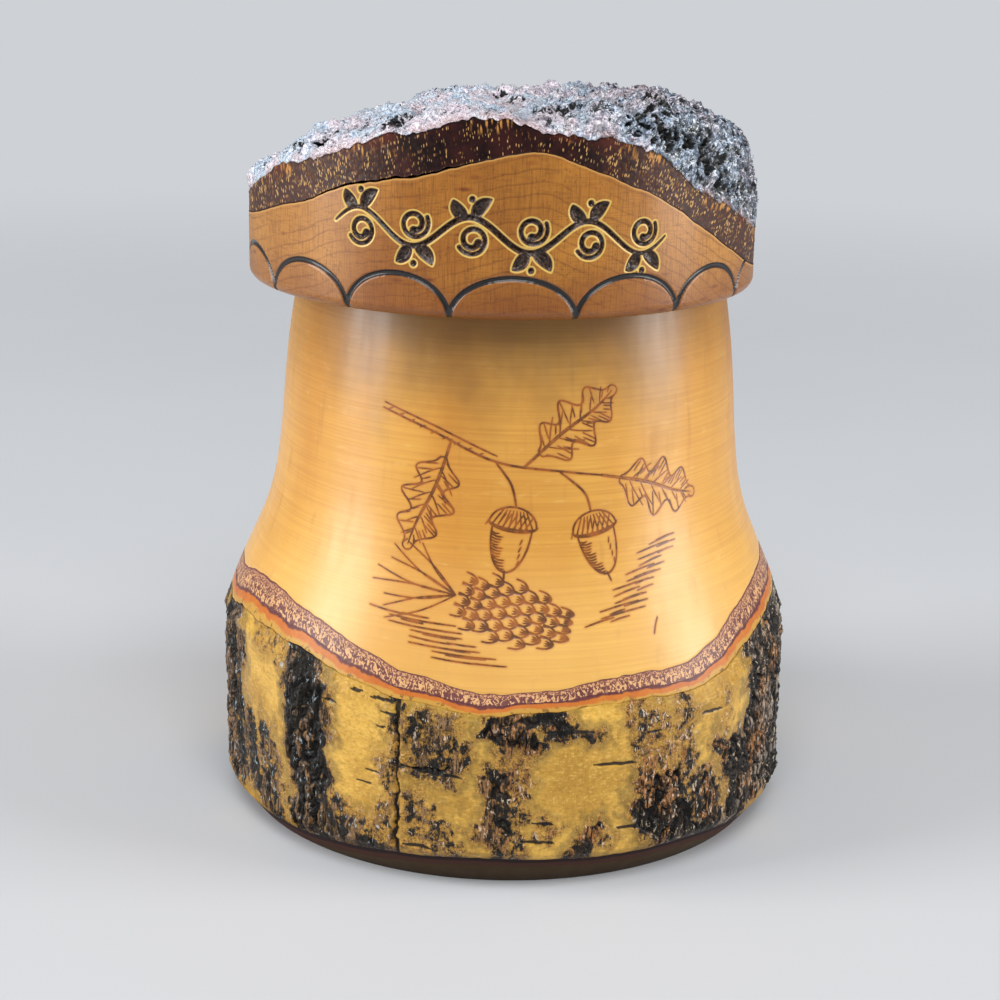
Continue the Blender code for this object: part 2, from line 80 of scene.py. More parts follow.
# The body's log, its layers by bearing in steps of a turn / 18
INNER_BARK = 1.8 * MM
CORTEX = 1.0 * MM
OUTER_BARK = 2.4 * MM
LOG_SHARES = (
    1.000, 0.987, 0.981, 0.934, 0.910, 0.916, 0.930, 0.955, 0.972,
    0.980, 0.968, 0.950, 0.938, 0.936, 0.938, 0.924, 0.946, 0.981,
)
INNER_BARK_SHARES = (
    0.46, 0.50, 0.64, 0.88, 0.94, 0.96, 0.90, 0.80, 0.72,
    0.70, 0.76, 0.84, 0.90, 0.86, 0.80, 0.94, 0.74, 0.56,
)
CORTEX_SHARES = (
    0.64, 0.66, 0.72, 0.80, 0.90, 0.94, 0.90, 0.84, 0.80,
    0.78, 0.82, 0.88, 0.92, 0.86, 0.82, 0.98, 0.80, 0.70,
)
OUTER_BARK_SHARES = (
    0.46, 0.44, 0.60, 0.78, 0.84, 0.72, 0.60, 0.78, 0.62,
    0.56, 0.70, 0.60, 0.62, 0.44, 0.40, 0.48, 0.54, 0.44,
)
LAYER_GAP = 0.05 * MM
LAYER_WANDER = 0.22 * MM        # how far the layers' edges stray from their even outlines

# Turned lid, heights over its rim
LID_RIM = BODY_HEIGHT + 0.3 * MM
RIM_ROUNDING = 1.5 * MM
SPIGOT_RADIUS = 28.6 * MM
SPIGOT_DEPTH = 4.0 * MM
HOLLOW_RADIUS = 24.1 * MM
HOLLOW_CEILING = 3.5 * MM
HOLLOW_CORNER = 2.0 * MM
ARCH_HEIGHT = 25.6 * MM
ARCH_FALL = 5.0 * MM
LID_INNER_BARK = 6.5 * MM
CRUST = 13.0 * MM
CRUST_ROUGHNESS = 1.8 * MM
CRUST_LUMP = 8.5 * MM
CRUST_SWELL = 20.0 * MM
CRUST_LEAST = 0.9 * MM
CRUST_CORNER = 5.5 * MM
ARCH_SHARES = (
    0.49, 0.58, 0.65, 0.755, 0.805, 0.845, 0.91, 0.97, 1.00, 0.92, 0.825, 0.72, 0.555, 0.375, 0.215,
)
LID_INNER_BARK_SHARES = (
    0.50, 0.96, 0.97, 0.86, 1.00, 0.98, 1.06, 0.84, 0.46, 0.66, 0.94, 0.97, 0.80, 0.98, 1.00,
)
CRUST_SHARES = (
    0.08, 0.10, 0.21, 0.26, 0.20, 0.26, 0.20, 0.18, 0.32, 0.48, 0.47, 0.66, 1.00, 1.00, 0.72,
)


# Curves through shares


def catmull(picks, t):
    a, b, c, d = picks
    rise = (c - a) / 2
    leave = (d - b) / 2
    cubic = 2 * b - 2 * c + rise + leave
    square = 3 * c - 3 * b - 2 * rise - leave
    return cubic * t ** 3 + square * t ** 2 + rise * t + b


def through_round(shares, turn):
    """A smooth curve through shares that go once round."""
    spot = np.mod(turn, 1.0) * len(shares)
    index = np.floor(spot).astype(int)
    picks = [np.take(shares, index + k, mode="wrap") for k in (-1, 0, 1, 2)]
    return catmull(picks, spot - index)


def through_open(shares, place):
    """A smooth curve through shares from place 0 to place 1."""
    spot = np.clip(place, 0.0, 1.0) * (len(shares) - 1)
    index = np.minimum(spot.astype(int), len(shares) - 2)
    picks = [np.take(shares, index + k, mode="clip") for k in (-1, 0, 1, 2)]
    return catmull(picks, spot - index)


def through_points(points, count):
    """A smooth line through given points, as an array."""
    places = np.linspace(0.0, 1.0, count)
    return np.stack([through_open(np.array(side), places) for side in zip(*points)], axis=-1)


def smooth(value, low, high):
    """Rises from 0 to 1 as value goes from low to high."""
    t = np.clip((value - low) / (high - low), 0.0, 1.0)
    return t * t * (3 - 2 * t)


# Noise on a lattice


HASH_SIDES = np.array((73856093, 19349663, 83492791), dtype=np.int64)
HASH_SEED = 2654435761
HASH_SPREAD = 1274126177
HASH_MASK = 0xFFFFFF
CORNERS = [np.array((i, j, k)) for i in (0, 1) for j in (0, 1) for k in (0, 1)]
NEIGHBOURS = [np.array((i, j, k)) for i in (-1, 0, 1) for j in (-1, 0, 1) for k in (-1, 0, 1)]


def hashed(cell, seed):
    """A repeatable number from 0 to 1 for each cell."""
    mixed = cell @ HASH_SIDES + np.int64(seed * HASH_SEED % HASH_MASK)
    mixed = ((mixed ^ (mixed >> 13)) & HASH_MASK) * HASH_SPREAD
    mixed = (mixed ^ (mixed >> 16)) & HASH_MASK
    return mixed / HASH_MASK


def noise(points, seed=0):
    """Gradient noise, from about -1 to 1."""
    cell = np.floor(points).astype(np.int64)
    local = points - cell
    fade = local ** 3 * (local * (local * 6 - 15) + 10)
    total = np.zeros(points.shape[:-1])
    for corner in CORNERS:
        spot = cell + corner
        slopes = np.stack([hashed(spot, seed + axis) for axis in range(3)], axis=-1) * 2 - 1
        weight = np.prod(np.where(corner == 1, fade, 1 - fade), axis=-1)
        total += weight * np.sum(slopes * (local - corner), axis=-1)
    return total * 1.6


def fractal(points, octaves, seed=0):
    total = np.zeros(points.shape[:-1])
    for octave in range(octaves):
        total += noise(points * 2 ** octave, seed + 7 * octave) / 2 ** octave
    return total


def cells(points, seed=0):
    """Distances to the nearest two of seeds scattered one to a cell, and the nearest's own number."""
    cell = np.floor(points).astype(np.int64)
    nearest = np.full(points.shape[:-1], 9.0)
    second = nearest.copy()
    own = np.zeros(points.shape[:-1])
    for offset in NEIGHBOURS:
        spot = cell + offset
        seeds = spot + np.stack([hashed(spot, seed + axis) for axis in range(3)], axis=-1)
        away = np.linalg.norm(points - seeds, axis=-1)
        closer = away < nearest
        second = np.where(closer, nearest, np.minimum(second, away))
        own = np.where(closer, hashed(spot, seed + 3), own)
        nearest = np.minimum(nearest, away)
    return nearest, second, own


# Meshes from cross sections


def graded_turns(window, fine, coarse, side_window=0.0, side=0.0):
    """Bearings once round, in turns: fine steps in front, wider ones to the sides and behind."""
    front = np.arange(-window, window, fine)
    reach = max(side_window, window)
    right = np.arange(window, reach, side) if side else np.zeros(0)
    back = np.linspace(reach, 1 - reach, int((1 - 2 * reach) / coarse), endpoint=False)
    left = 1 - reach + np.arange(0.0, reach - window, side) if side else np.zeros(0)
    return np.concatenate([front, right, back, left])


def at_bearing(radius, turn, height):
    radius, turn, height = np.broadcast_arrays(radius, turn, height)
    return np.stack([radius * np.sin(turn * tau), -radius * np.cos(turn * tau), height], axis=-1)


def section(*stretches):
    """Joins stretches of a cross section, each a pair of radius and height arrays by bearing and row."""
    radius = np.concatenate([stretch[0] for stretch in stretches], axis=1)
    height = np.concatenate([stretch[1] for stretch in stretches], axis=1)
    return radius, height


def fixed(turns, profile):
    """A stretch that is the same at every bearing."""
    radius, height = np.array(profile, float).T
    shape = (len(turns), len(radius))
    return np.broadcast_to(radius, shape), np.broadcast_to(height, shape)


def between(start, end, count):
    """Rows from one value by bearing to another, both included."""
    shares = np.linspace(0.0, 1.0, count)[None, :]
    return start[:, None] * (1 - shares) + end[:, None] * shares


def arc(centre, radius, start, end, count):
    """Points on an arc in a profile; angles as shares of a turn."""
    angles = np.linspace(start, end, count) * tau
    return [(centre[0] + radius * cos(a), centre[1] + radius * sin(a)) for a in angles]


def skin(name, points, values, crisp):
    """Makes a closed mesh of cross sections placed round Z, with a value of each kind per corner."""
    columns, rows = points.shape[:2]
    grid = np.arange(columns * rows).reshape(columns, rows)
    after = np.roll(grid, -1, axis=0)
    below = np.roll(grid, -1, axis=1)
    faces = np.stack([grid, after, np.roll(after, -1, axis=1), below], axis=-1)
    if np.linalg.norm(points[0, 0] - points[0, -1]) > MM:
        faces = faces[:, :-1] if np.ptp(points[:, 0], axis=0).max() < MM / 100 else faces
    mesh = bpy.data.meshes.new(name)
    mesh.from_pydata(points.reshape(-1, 3), [], faces.reshape(-1, 4).tolist())
    for key, value in values.items():
        kind = "FLOAT_VECTOR" if value.ndim == 3 else "FLOAT"
        layer = mesh.attributes.new(key, kind, "POINT")
        layer.data.foreach_set("vector" if value.ndim == 3 else "value", value.astype(np.float32).ravel())
    work = bmesh.new()
    work.from_mesh(mesh)
    bmesh.ops.remove_doubles(work, verts=work.verts, dist=MM / 5000)
    bmesh.ops.recalc_face_normals(work, faces=work.faces)
    work.to_mesh(mesh)
    work.free()
    mesh.shade_smooth()
    if crisp:
        mesh.set_sharp_from_angle(angle=radians(55))
    piece = bpy.data.objects.new(name, mesh)
    bpy.context.scene.collection.objects.link(piece)
    return piece


def install(piece, body, node, material):
    """Puts a finished piece in place of its node."""
    piece.data.materials.append(material)
    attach(piece, body)
    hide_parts(node)
    return piece


# The pen: lines are kept as points and half widths on the unrolled surface


class Drawing:
    """Strokes on a surface unrolled flat, across and up."""

    def __init__(self):
        self.strokes = []

    def stroke(self, points, half_width, taper=0.35):
        """One line; its half width falls off to a share of itself at both ends."""
        points = np.asarray(points, float)
        place = np.linspace(0.0, 1.0, len(points))
        swell = taper + (1 - taper) * np.sin(pi * place) ** 0.5
        self.strokes.append((points, half_width * swell))

    def line(self, points, half_width, taper=0.35, count=24):
        """A smooth line through a few points."""
        self.stroke(through_points(points, count), half_width, taper)

    def edge_distance(self, across, up, reach):
        """How far each spot lies outside the nearest stroke's edge; inside it is below zero."""
        found = np.full(across.shape, reach)
        for points, widths in self.strokes:
            low = points.min(axis=0) - reach
            high = points.max(axis=0) + reach
            near = (across > low[0]) & (across < high[0]) & (up > low[1]) & (up < high[1])
            spots = np.stack([across[near], up[near]], axis=-1)
            if not len(spots):
                continue
            start = points[:-1][None]
            leg = points[1:][None] - start
            length = np.maximum(np.sum(leg ** 2, axis=-1), (MM / 1000) ** 2)
            along = np.clip(np.sum((spots[:, None] - start) * leg, axis=-1) / length, 0.0, 1.0)
            away = np.linalg.norm(spots[:, None] - start - along[..., None] * leg, axis=-1)
            width = widths[:-1] * (1 - along) + widths[1:] * along
            found[near] = np.minimum(found[near], (away - width).min(axis=1))
        return found


def placed(points, base, tip):
    """Points in a motif's own frame, its length along the first axis, laid from base to tip."""
    points = np.asarray(points, float)
    base = np.asarray(base, float)
    along = np.asarray(tip, float) - base
    side = np.array((-along[1], along[0]))
    return base + points[:, :1] * along + points[:, 1:] * side


# Drawing burnt into the body: two oak sprigs, acorns and a cone, and hatching under them


BURN_LINE = 0.135 * MM
BURN_FINE = 0.095 * MM
DRAWING_RADIUS = 39.0 * MM      # the radius at which the drawing's across is measured
LEAF_LOBES = 3.5
LEAF_HALF_SHARE = 0.24          # of the leaf's length
CONE_HALF_SHARE = 0.27
LEAF_STALK_SHARE = 0.16


def oak_leaf(drawing, base, tip, shaded):
    """A lobed leaf with midrib, veins and shading strokes, closer along one side."""
    place = np.linspace(LEAF_STALK_SHARE, 1.0, 90)
    body = (place - LEAF_STALK_SHARE) / (1 - LEAF_STALK_SHARE)
    lobes = 0.72 + 0.28 * np.cos((body * LEAF_LOBES + 0.35) * tau)
    half = LEAF_HALF_SHARE * np.sin(pi * body ** 0.85) ** 0.6 * lobes
    for side in (1, -1):
        drawing.stroke(placed(np.stack([place, side * half], axis=-1), base, tip), BURN_LINE, 0.7)
        rib = [(0.0, side * 0.006), (0.4, 0.02 + side * 0.008), (0.75, -0.01 + side * 0.005), (0.95, 0.0)]
        drawing.line(placed(rib, base, tip), BURN_FINE, 0.6)
    for k in range(6):
        root = 0.26 + 0.11 * k
        reach = LEAF_HALF_SHARE * (0.72 - 0.07 * k)
        for side in (1, -1):
            vein = [(root, 0.0), (root + reach * 0.4, side * reach * 0.45), (root + reach, side * reach)]
            drawing.line(placed(vein, base, tip), BURN_FINE)
    for k in range(34):
        side = shaded if k % 3 else -shaded
        spot = int(6 + 2.4 * k)
        depth = half[spot] * (0.45 + 0.35 * ((k * 5) % 4) / 3)
        start = (place[spot], side * half[spot])
        end = (place[spot] - 0.05, side * (half[spot] - depth))
        drawing.line(placed([start, end], base, tip), BURN_FINE, 0.3, 8)


def acorn(drawing, base, tip):
    """A nut in its cup: the cup is cross-hatched, and curved strokes shade one side of the nut."""
    turn = np.linspace(-0.5, 0.5, 40) * pi
    cup = np.stack([0.30 - 0.24 * np.cos(turn), 0.30 * np.sin(turn)], axis=-1)
    drawing.stroke(placed(cup, base, tip), BURN_LINE, 0.8)
    for swell in (0.07, 0.10):
        rim = np.stack([0.28 + swell * np.cos(turn), 0.31 * np.sin(turn)], axis=-1)
        drawing.stroke(placed(rim, base, tip), BURN_LINE, 0.8)
    nut = np.stack([0.34 + 0.56 * np.cos(turn), 0.25 * np.sin(turn)], axis=-1)
    drawing.stroke(placed(nut, base, tip), BURN_LINE, 0.8)
    drawing.line(placed([(0.88, 0.0), (1.0, 0.015)], base, tip), BURN_LINE, 0.6, 6)
    for k in range(8):
        offset = -0.245 + 0.07 * k
        drawing.line(placed([(0.11, offset * 0.6), (0.34, offset * 1.1)], base, tip), BURN_FINE, 0.6, 8)
        drawing.line(placed([(0.15, offset), (0.34, offset - 0.09)], base, tip), BURN_FINE, 0.6, 8)
    for k in range(13):
        start = 0.41 + 0.036 * k
        fall = 0.25 * (1 - ((start - 0.34) / 0.56) ** 2) ** 0.5
        reach = 0.10 + 0.05 * ((k * 3) % 4) / 3
        comb = [(start, -fall), (start + 0.025, -fall + reach * 0.5), (start + 0.02, -fall + reach)]
        drawing.line(placed(comb, base, tip), BURN_FINE * 1.2, 0.4, 8)
    for k in range(4):
        drawing.line(placed([(0.46 + 0.09 * k, 0.15), (0.53 + 0.09 * k, 0.13)], base, tip), BURN_FINE, 0.4, 6)


def cone(drawing, base, tip):
    """A cone: rows of pointed scales, each row set half a scale over from the last, with dark tips."""
    rows = 9
    for row in range(rows):
        place = 0.04 + 0.86 * row / (rows - 1)
        half = CONE_HALF_SHARE * sin(pi * (0.20 + 0.72 * place)) ** 0.8
        count = 2 + int(round(3 * half / CONE_HALF_SHARE))
        for k in range(count):
            middle = -half + 2 * half * (k + 0.5 + 0.25 * (-1) ** row) / count
            wide = half / count * 1.15
            scale = [(place - 0.02, middle - wide), (place + 0.05, middle - wide * 0.8),
                     (place + 0.095, middle), (place + 0.05, middle + wide * 0.8), (place - 0.02, middle + wide)]
            drawing.line(placed(scale, base, tip), BURN_LINE, 0.7, 16)
            for lean in (-0.4, 0.0, 0.4):
                dark = [(place + 0.03, middle + wide * lean), (place + 0.085, middle + wide * lean * 0.3)]
                drawing.line(placed(dark, base, tip), BURN_FINE, 0.6, 5)


def needles(drawing, base, tip, count, spread):
    """A spray of needles from one point."""
    for k in range(count):
        lean = spread * (2 * k / (count - 1) - 1)
        length = 1.0 - 0.22 * abs(lean) / spread + 0.06 * ((k * 7) % 3 - 1)
        bow = 0.10 * (-1) ** k
        end = (length * cos(lean), length * sin(lean))
        middle = (0.5 * end[0] - bow * sin(lean) * 0.4, 0.5 * end[1] + bow * cos(lean) * 0.4)
        drawing.line(placed([(0.0, 0.0), middle, end], base, tip), BURN_FINE, 0.7, 14)


def hatching(drawing, corner, length, rise, count, step):
    """Rows of long slanting strokes with short ones between them, as a shadow on the ground."""
    for k in range(count):
        for part, share in enumerate((1.0, 0.55)):
            shift = 0.35 * ((k * 3 + part * 2) % 5) / 5 + 0.4 * part
            size = length * share * (0.62 + 0.38 * ((k * 7 + part) % 4) / 3)
            start = (corner[0] + length * shift + step[0] * k, corner[1] + step[1] * (k + 0.45 * part))
            bend = (start[0] + size * 0.5, start[1] + rise * share * 0.62)
            end = (start[0] + size, start[1] + rise * share)
            drawing.line([start, bend, end], BURN_FINE * 1.25, 0.5, 16)


def body_drawing():
    """The whole picture, in millimetres across from the front and up from the floor."""
    drawing = Drawing()
    stem = [(-21.0, 76.0), (-12.0, 73.2), (-2.0, 69.0), (8.0, 67.5), (15.0, 66.5)]
    twig = [(-2.0, 69.0), (0.5, 65.5), (1.4, 61.9)]
    fork = [(8.0, 67.5), (12.0, 64.0), (13.1, 60.9)]
    for line in (stem, twig, fork):
        drawing.line(np.array(line) * MM, BURN_LINE * 1.25, 0.6)
    drawing.line((np.array(stem[:3]) + (0.2, 0.9)) * MM, BURN_LINE, 0.6)
    for k in range(9):
        knot = np.array((-20.0 + 1.9 * k, 75.9 - 0.75 * k))
        drawing.line((knot + [(0, 0), (0.9, 0.35)]) * MM, BURN_FINE, 0.5, 6)
    oak_leaf(drawing, (-9.0 * MM, 72.2 * MM), (-15.5 * MM, 54.0 * MM), 1)
    oak_leaf(drawing, (2.5 * MM, 68.2 * MM), (17.5 * MM, 80.5 * MM), -1)
    oak_leaf(drawing, (15.0 * MM, 66.5 * MM), (34.0 * MM, 61.0 * MM), 1)
    acorn(drawing, (1.5 * MM, 62.5 * MM), (-0.5 * MM, 50.5 * MM))
    acorn(drawing, (13.0 * MM, 61.5 * MM), (15.5 * MM, 49.8 * MM))
    cone(drawing, (-7.0 * MM, 48.0 * MM), (9.0 * MM, 43.2 * MM))
    needles(drawing, (-7.0 * MM, 48.0 * MM), (-19.5 * MM, 51.0 * MM), 9, radians(38))
    hatching(drawing, (-19.5 * MM, 45.0 * MM), 9.5 * MM, -0.6 * MM, 8, (1.35 * MM, -0.9 * MM))
    hatching(drawing, (11.0 * MM, 43.4 * MM), 7.0 * MM, 1.0 * MM, 12, (0.95 * MM, 1.0 * MM))
    drawing.line(np.array([(21.0, 41.2), (21.4, 42.4), (22.0, 43.5)]) * MM, BURN_LINE, 0.6, 8)
    return drawing


# Vine carved into the lid's front


VINE_START = -27.5 * MM
VINE_END = 27.0 * MM
VINE_WAVES = 3
VINE_LEFT = 13.8 * MM           # the stem's middle height over the rim, left and right
VINE_RIGHT = 12.4 * MM
VINE_SWING = 2.5 * MM
VINE_LINE = 0.58 * MM
LEAF_HALF = 1.05 * MM
LEAF_LENGTH = 4.6 * MM
BERRY = 0.70 * MM


def vine_height(across):
    """Middle of the stem's swing."""
    place = (across - VINE_START) / (VINE_END - VINE_START)
    return VINE_LEFT + (VINE_RIGHT - VINE_LEFT) * place


def leaf_cut(drawing, base, lean, length):
    """A leaf cut with one stroke that swells and closes to a point."""
    place = np.linspace(0.0, 1.0, 20)
    bow = 0.12 * np.sin(pi * place)
    tip = (base[0] + length * cos(lean), base[1] + length * sin(lean))
    points = placed(np.stack([place, bow], axis=-1), base, tip)
    drawing.strokes.append((points, LEAF_HALF * np.sin(pi * place ** 0.8) ** 0.9 + 0.10 * MM))


def tendril(drawing, centre, start_angle, hand, size):
    """A curl that winds in to a round end."""
    turn = np.linspace(0.0, 1.35, 46)
    radius = size * (1 - 0.58 * turn / 1.35)
    angle = start_angle + hand * turn * tau
    points = np.stack([centre[0] + radius * np.cos(angle), centre[1] + radius * np.sin(angle)], axis=-1)
    drawing.strokes.append((points, np.linspace(0.42 * MM, 0.55 * MM, len(points))))
    drawing.strokes.append((points[-2:], np.full(2, BERRY)))


def lid_vine():
    drawing = Drawing()
    across = np.linspace(VINE_START, VINE_END, 140)
    wave = (VINE_END - VINE_START) / VINE_WAVES
    phase = (across - VINE_START) / wave * tau
    stem = np.stack([across, vine_height(across) + VINE_SWING * np.sin(phase)], axis=-1)
    drawing.stroke(stem, VINE_LINE, 0.45)
    for k in range(2 * VINE_WAVES):
        side = (-1) ** k
        middle = VINE_START + (k + 0.5) * wave / 2
        height = vine_height(middle)
        tendril(drawing, (middle + 0.4 * MM, height - side * 0.9 * MM), pi * (0.5 + 0.5 * side) + 0.5, side, 2.35 * MM)
        crest = height + side * VINE_SWING
        leaf_cut(drawing, (middle - 0.6 * MM, crest), side * radians(128), LEAF_LENGTH * 0.72)
        leaf_cut(drawing, (middle + 0.6 * MM, crest), side * radians(46), LEAF_LENGTH * 0.86)
        berry = (middle + 0.3 * MM, crest + side * 2.7 * MM)
        drawing.strokes.append((np.array([berry, berry]) + ((0, 0), (0, 0.05 * MM)), np.full(2, BERRY * 0.85)))
    return drawing


# Scallops burnt round the lid's edge


SCALLOP_COUNT = 15
SCALLOP_HEIGHT = 6.6 * MM
SCALLOP_HALF = 0.43 * MM
SCALLOP_DEPTH = 0.42 * MM
SCALLOP_START_SHARE = 0.565
SCALLOP_STRAY_SHARES = (
    0.09, 0.10, 0.04, 0.03, -0.04, 0.02, 0.04, -0.03, 0.0, 0.03, -0.02, -0.03, 0.01, 0.03, 0.0,
)


def lid_scallops():
    drawing = Drawing()
    reach = LID_RADIUS * tau
    for index in range(SCALLOP_COUNT):
        from_foot = SCALLOP_STRAY_SHARES[index]
        to_foot = SCALLOP_STRAY_SHARES[(index + 1) % SCALLOP_COUNT]
        angle = np.linspace(0.0, pi, 36)
        share = (1 - np.cos(angle)) / 2
        turn = (index + SCALLOP_START_SHARE + share + from_foot + (to_foot - from_foot) * share) / SCALLOP_COUNT
        height = SCALLOP_HEIGHT * np.sin(angle)
        for lap in (0, -1):
            points = np.stack([(turn + lap) * reach, height], axis=-1)
            drawing.strokes.append((points, np.full(len(points), SCALLOP_HALF)))
    return drawing


# The body's log


def flare_line():
    """The flare as radius and height arrays, from the skirt up to the mouth."""
    line = through_points(FLARE_SHARES, 240)
    radius = NECK_RADIUS + (SKIRT_RADIUS - NECK_RADIUS) * line[:, 1]
    height = SKIRT_HEIGHT + (BODY_HEIGHT - SKIRT_HEIGHT) * line[:, 0]
    return radius, height


FLARE_RADII, FLARE_HEIGHTS = flare_line()


def flare_radius(height):
    return np.interp(height, FLARE_HEIGHTS, FLARE_RADII)


def flare_height(radius):
    return np.interp(radius, FLARE_RADII[::-1], FLARE_HEIGHTS[::-1])


def foot_height(radius):
    """Height of the foot's chamfer at a radius."""
    return np.maximum(radius - FOOT_RADIUS, 0.0) * FOOT_SLOPE


def foot_radius(height):
    return FOOT_RADIUS + height / FOOT_SLOPE


def wandering(turn, height, seed):
    """A small wander of a layer's edge."""
    spot = at_bearing(LOG_RADIUS, turn, height)
    coarse = noise(spot / (7 * MM), seed)
    fine = noise(spot / (1.8 * MM), seed + 1)
    return LAYER_WANDER * (coarse + 0.35 * fine)


def wood_radius(turn):
    return LOG_RADIUS * through_round(LOG_SHARES, turn) + wandering(turn, BODY_HEIGHT / 2, 3)


def inner_bark_radius(turn):
    thickness = INNER_BARK * through_round(INNER_BARK_SHARES, turn)
    return wood_radius(turn) + thickness + wandering(turn, BODY_HEIGHT / 4, 5) / 2


def cortex_radius(turn):
    return inner_bark_radius(turn) + CORTEX * through_round(CORTEX_SHARES, turn)


TURNING_RELIEF = 0.012 * MM
BURN_DEPTH = 0.045 * MM
BURN_REACH = 0.9 * MM
ENGRAVE_REACHES = (0.40 * MM, 0.20 * MM)


def turning(height):
    """Fine rings that the lathe left."""
    spot = np.stack([height / (0.9 * MM), height * 0, height * 0], axis=-1)
    return TURNING_RELIEF * (noise(spot, 11) + noise(spot * 3, 12))


def engrave(piece, drawing):
    """Burns a drawing into the piece's outside, on finer faces along its lines."""
    work = bmesh.new()
    work.from_mesh(piece.data)
    for reach in ENGRAVE_REACHES:
        line, _ = line_distance(work, drawing)
        close = [vert for vert, away in zip(work.verts, line) if away < reach]
        edges = {edge for vert in close for face in vert.link_faces for edge in face.edges}
        work.edges.index_update()
        edges = sorted(edges, key=lambda edge: edge.index)
        bmesh.ops.subdivide_edges(work, edges=edges, cuts=1, use_grid_fill=True)
    line, places = line_distance(work, drawing)
    deep = BURN_DEPTH * smooth(-line, -0.07 * MM, 0.09 * MM)
    radius = np.maximum(np.hypot(places[:, 0], places[:, 1]), MM)
    places[:, :2] *= (1 - deep / radius)[:, None]
    for vert, place in zip(work.verts, places):
        vert.co = place
    work.to_mesh(piece.data)
    work.free()
    layer = piece.data.attributes.new("burn", "FLOAT", "POINT")
    layer.data.foreach_set("value", (line / MM).astype(np.float32))


def line_distance(work, drawing):
    """How far each vertex lies from the drawing's lines, and where the vertices are."""
    places = np.array([vert.co for vert in work.verts])
    across = np.arctan2(places[:, 0], -places[:, 1]) * DRAWING_RADIUS
    outside = np.hypot(places[:, 0], places[:, 1]) > (MOUTH_RADIUS + NECK_RADIUS) / 2
    line = np.full(len(places), BURN_REACH)
    line[outside] = drawing.edge_distance(across[outside], places[outside, 2], BURN_REACH)
    return line, places


def body_wood():
    turns = graded_turns(0.13, 0.0020, 0.0056)
    count = len(turns)
    outside = wood_radius(turns)
    inside = [(0.0, CAVITY_FLOOR)]
    inside += arc((MOUTH_RADIUS - CAVITY_CORNER, CAVITY_FLOOR + CAVITY_CORNER), CAVITY_CORNER, 0.75, 1.0, 6)
    rim = BODY_HEIGHT - MOUTH_ROUNDING
    inside += arc((MOUTH_RADIUS + MOUTH_ROUNDING, rim), MOUTH_ROUNDING, 0.5, 0.25, 5)
    height = between(np.full(count, BODY_HEIGHT), flare_height(outside), 112)
    radius = flare_radius(height) + turning(height)
    side_height = between(height[:, -1], foot_height(outside), 5)[:, 1:]
    side_radius = np.broadcast_to(outside[:, None], side_height.shape)
    foot = np.minimum(outside, FOOT_RADIUS)
    radius, height = section(
        fixed(turns, inside),
        (radius, height),
        (side_radius, side_height),
        (np.stack([foot, foot * 0], axis=1), np.zeros((count, 2))),
    )
    piece = skin("turned_body", at_bearing(radius, turns[:, None], height), {}, True)
    engrave(piece, body_drawing())
    return install(piece, "box", "body_wood", body_wood_material())


def log_ring(name, inner, outer, rows, seed, relief):
    """A grown layer between two outlines, cut by the flare above and the chamfer below."""
    turns = graded_turns(0.28, 0.00075, 0.0014)
    low = inner(turns) + LAYER_GAP
    high = outer(turns)
    top_radius = between(low, high, rows)
    top_height = flare_height(top_radius)
    spot = at_bearing(top_radius, turns[:, None], top_height)
    share = np.broadcast_to(np.linspace(0.0, 1.0, rows), top_radius.shape)
    grain = relief * fractal(spot / (0.55 * MM), 2, seed) * np.sin(pi * share)
    side_height = between(top_height[:, -1], foot_height(high), 4)[:, 1:]
    foot_rows = between(high, low, rows)[:, 1:]
    back_height = between(foot_height(low), top_height[:, 0], 4)[:, 1:-1]
    radius, height = section(
        (top_radius, top_height + grain),
        (np.broadcast_to(high[:, None], side_height.shape), side_height),
        (foot_rows, foot_height(foot_rows)),
        (np.broadcast_to(low[:, None], back_height.shape), back_height),
    )
    points = at_bearing(radius, turns[:, None], height)
    across = (radius - low[:, None]) / (high - low)[:, None]
    along = np.broadcast_to((turns * tau * LOG_RADIUS)[:, None], radius.shape)
    slope = (top_height[:, :1] - height) + (radius - low[:, None])
    layer = np.stack([along, slope, across * MM], axis=-1) / MM
    return skin(name, points, {"layer": layer}, True)


def body_inner_bark():
    piece = log_ring("body_bark_inner", wood_radius, inner_bark_radius, 18, 21, 0.05 * MM)
    return install(piece, "box", "body_inner_bark", inner_bark_material())


def body_cortex():
    piece = log_ring("body_bark_cortex", inner_bark_radius, cortex_radius, 10, 23, 0.03 * MM)
    return install(piece, "box", "body_cortex", cortex_material())


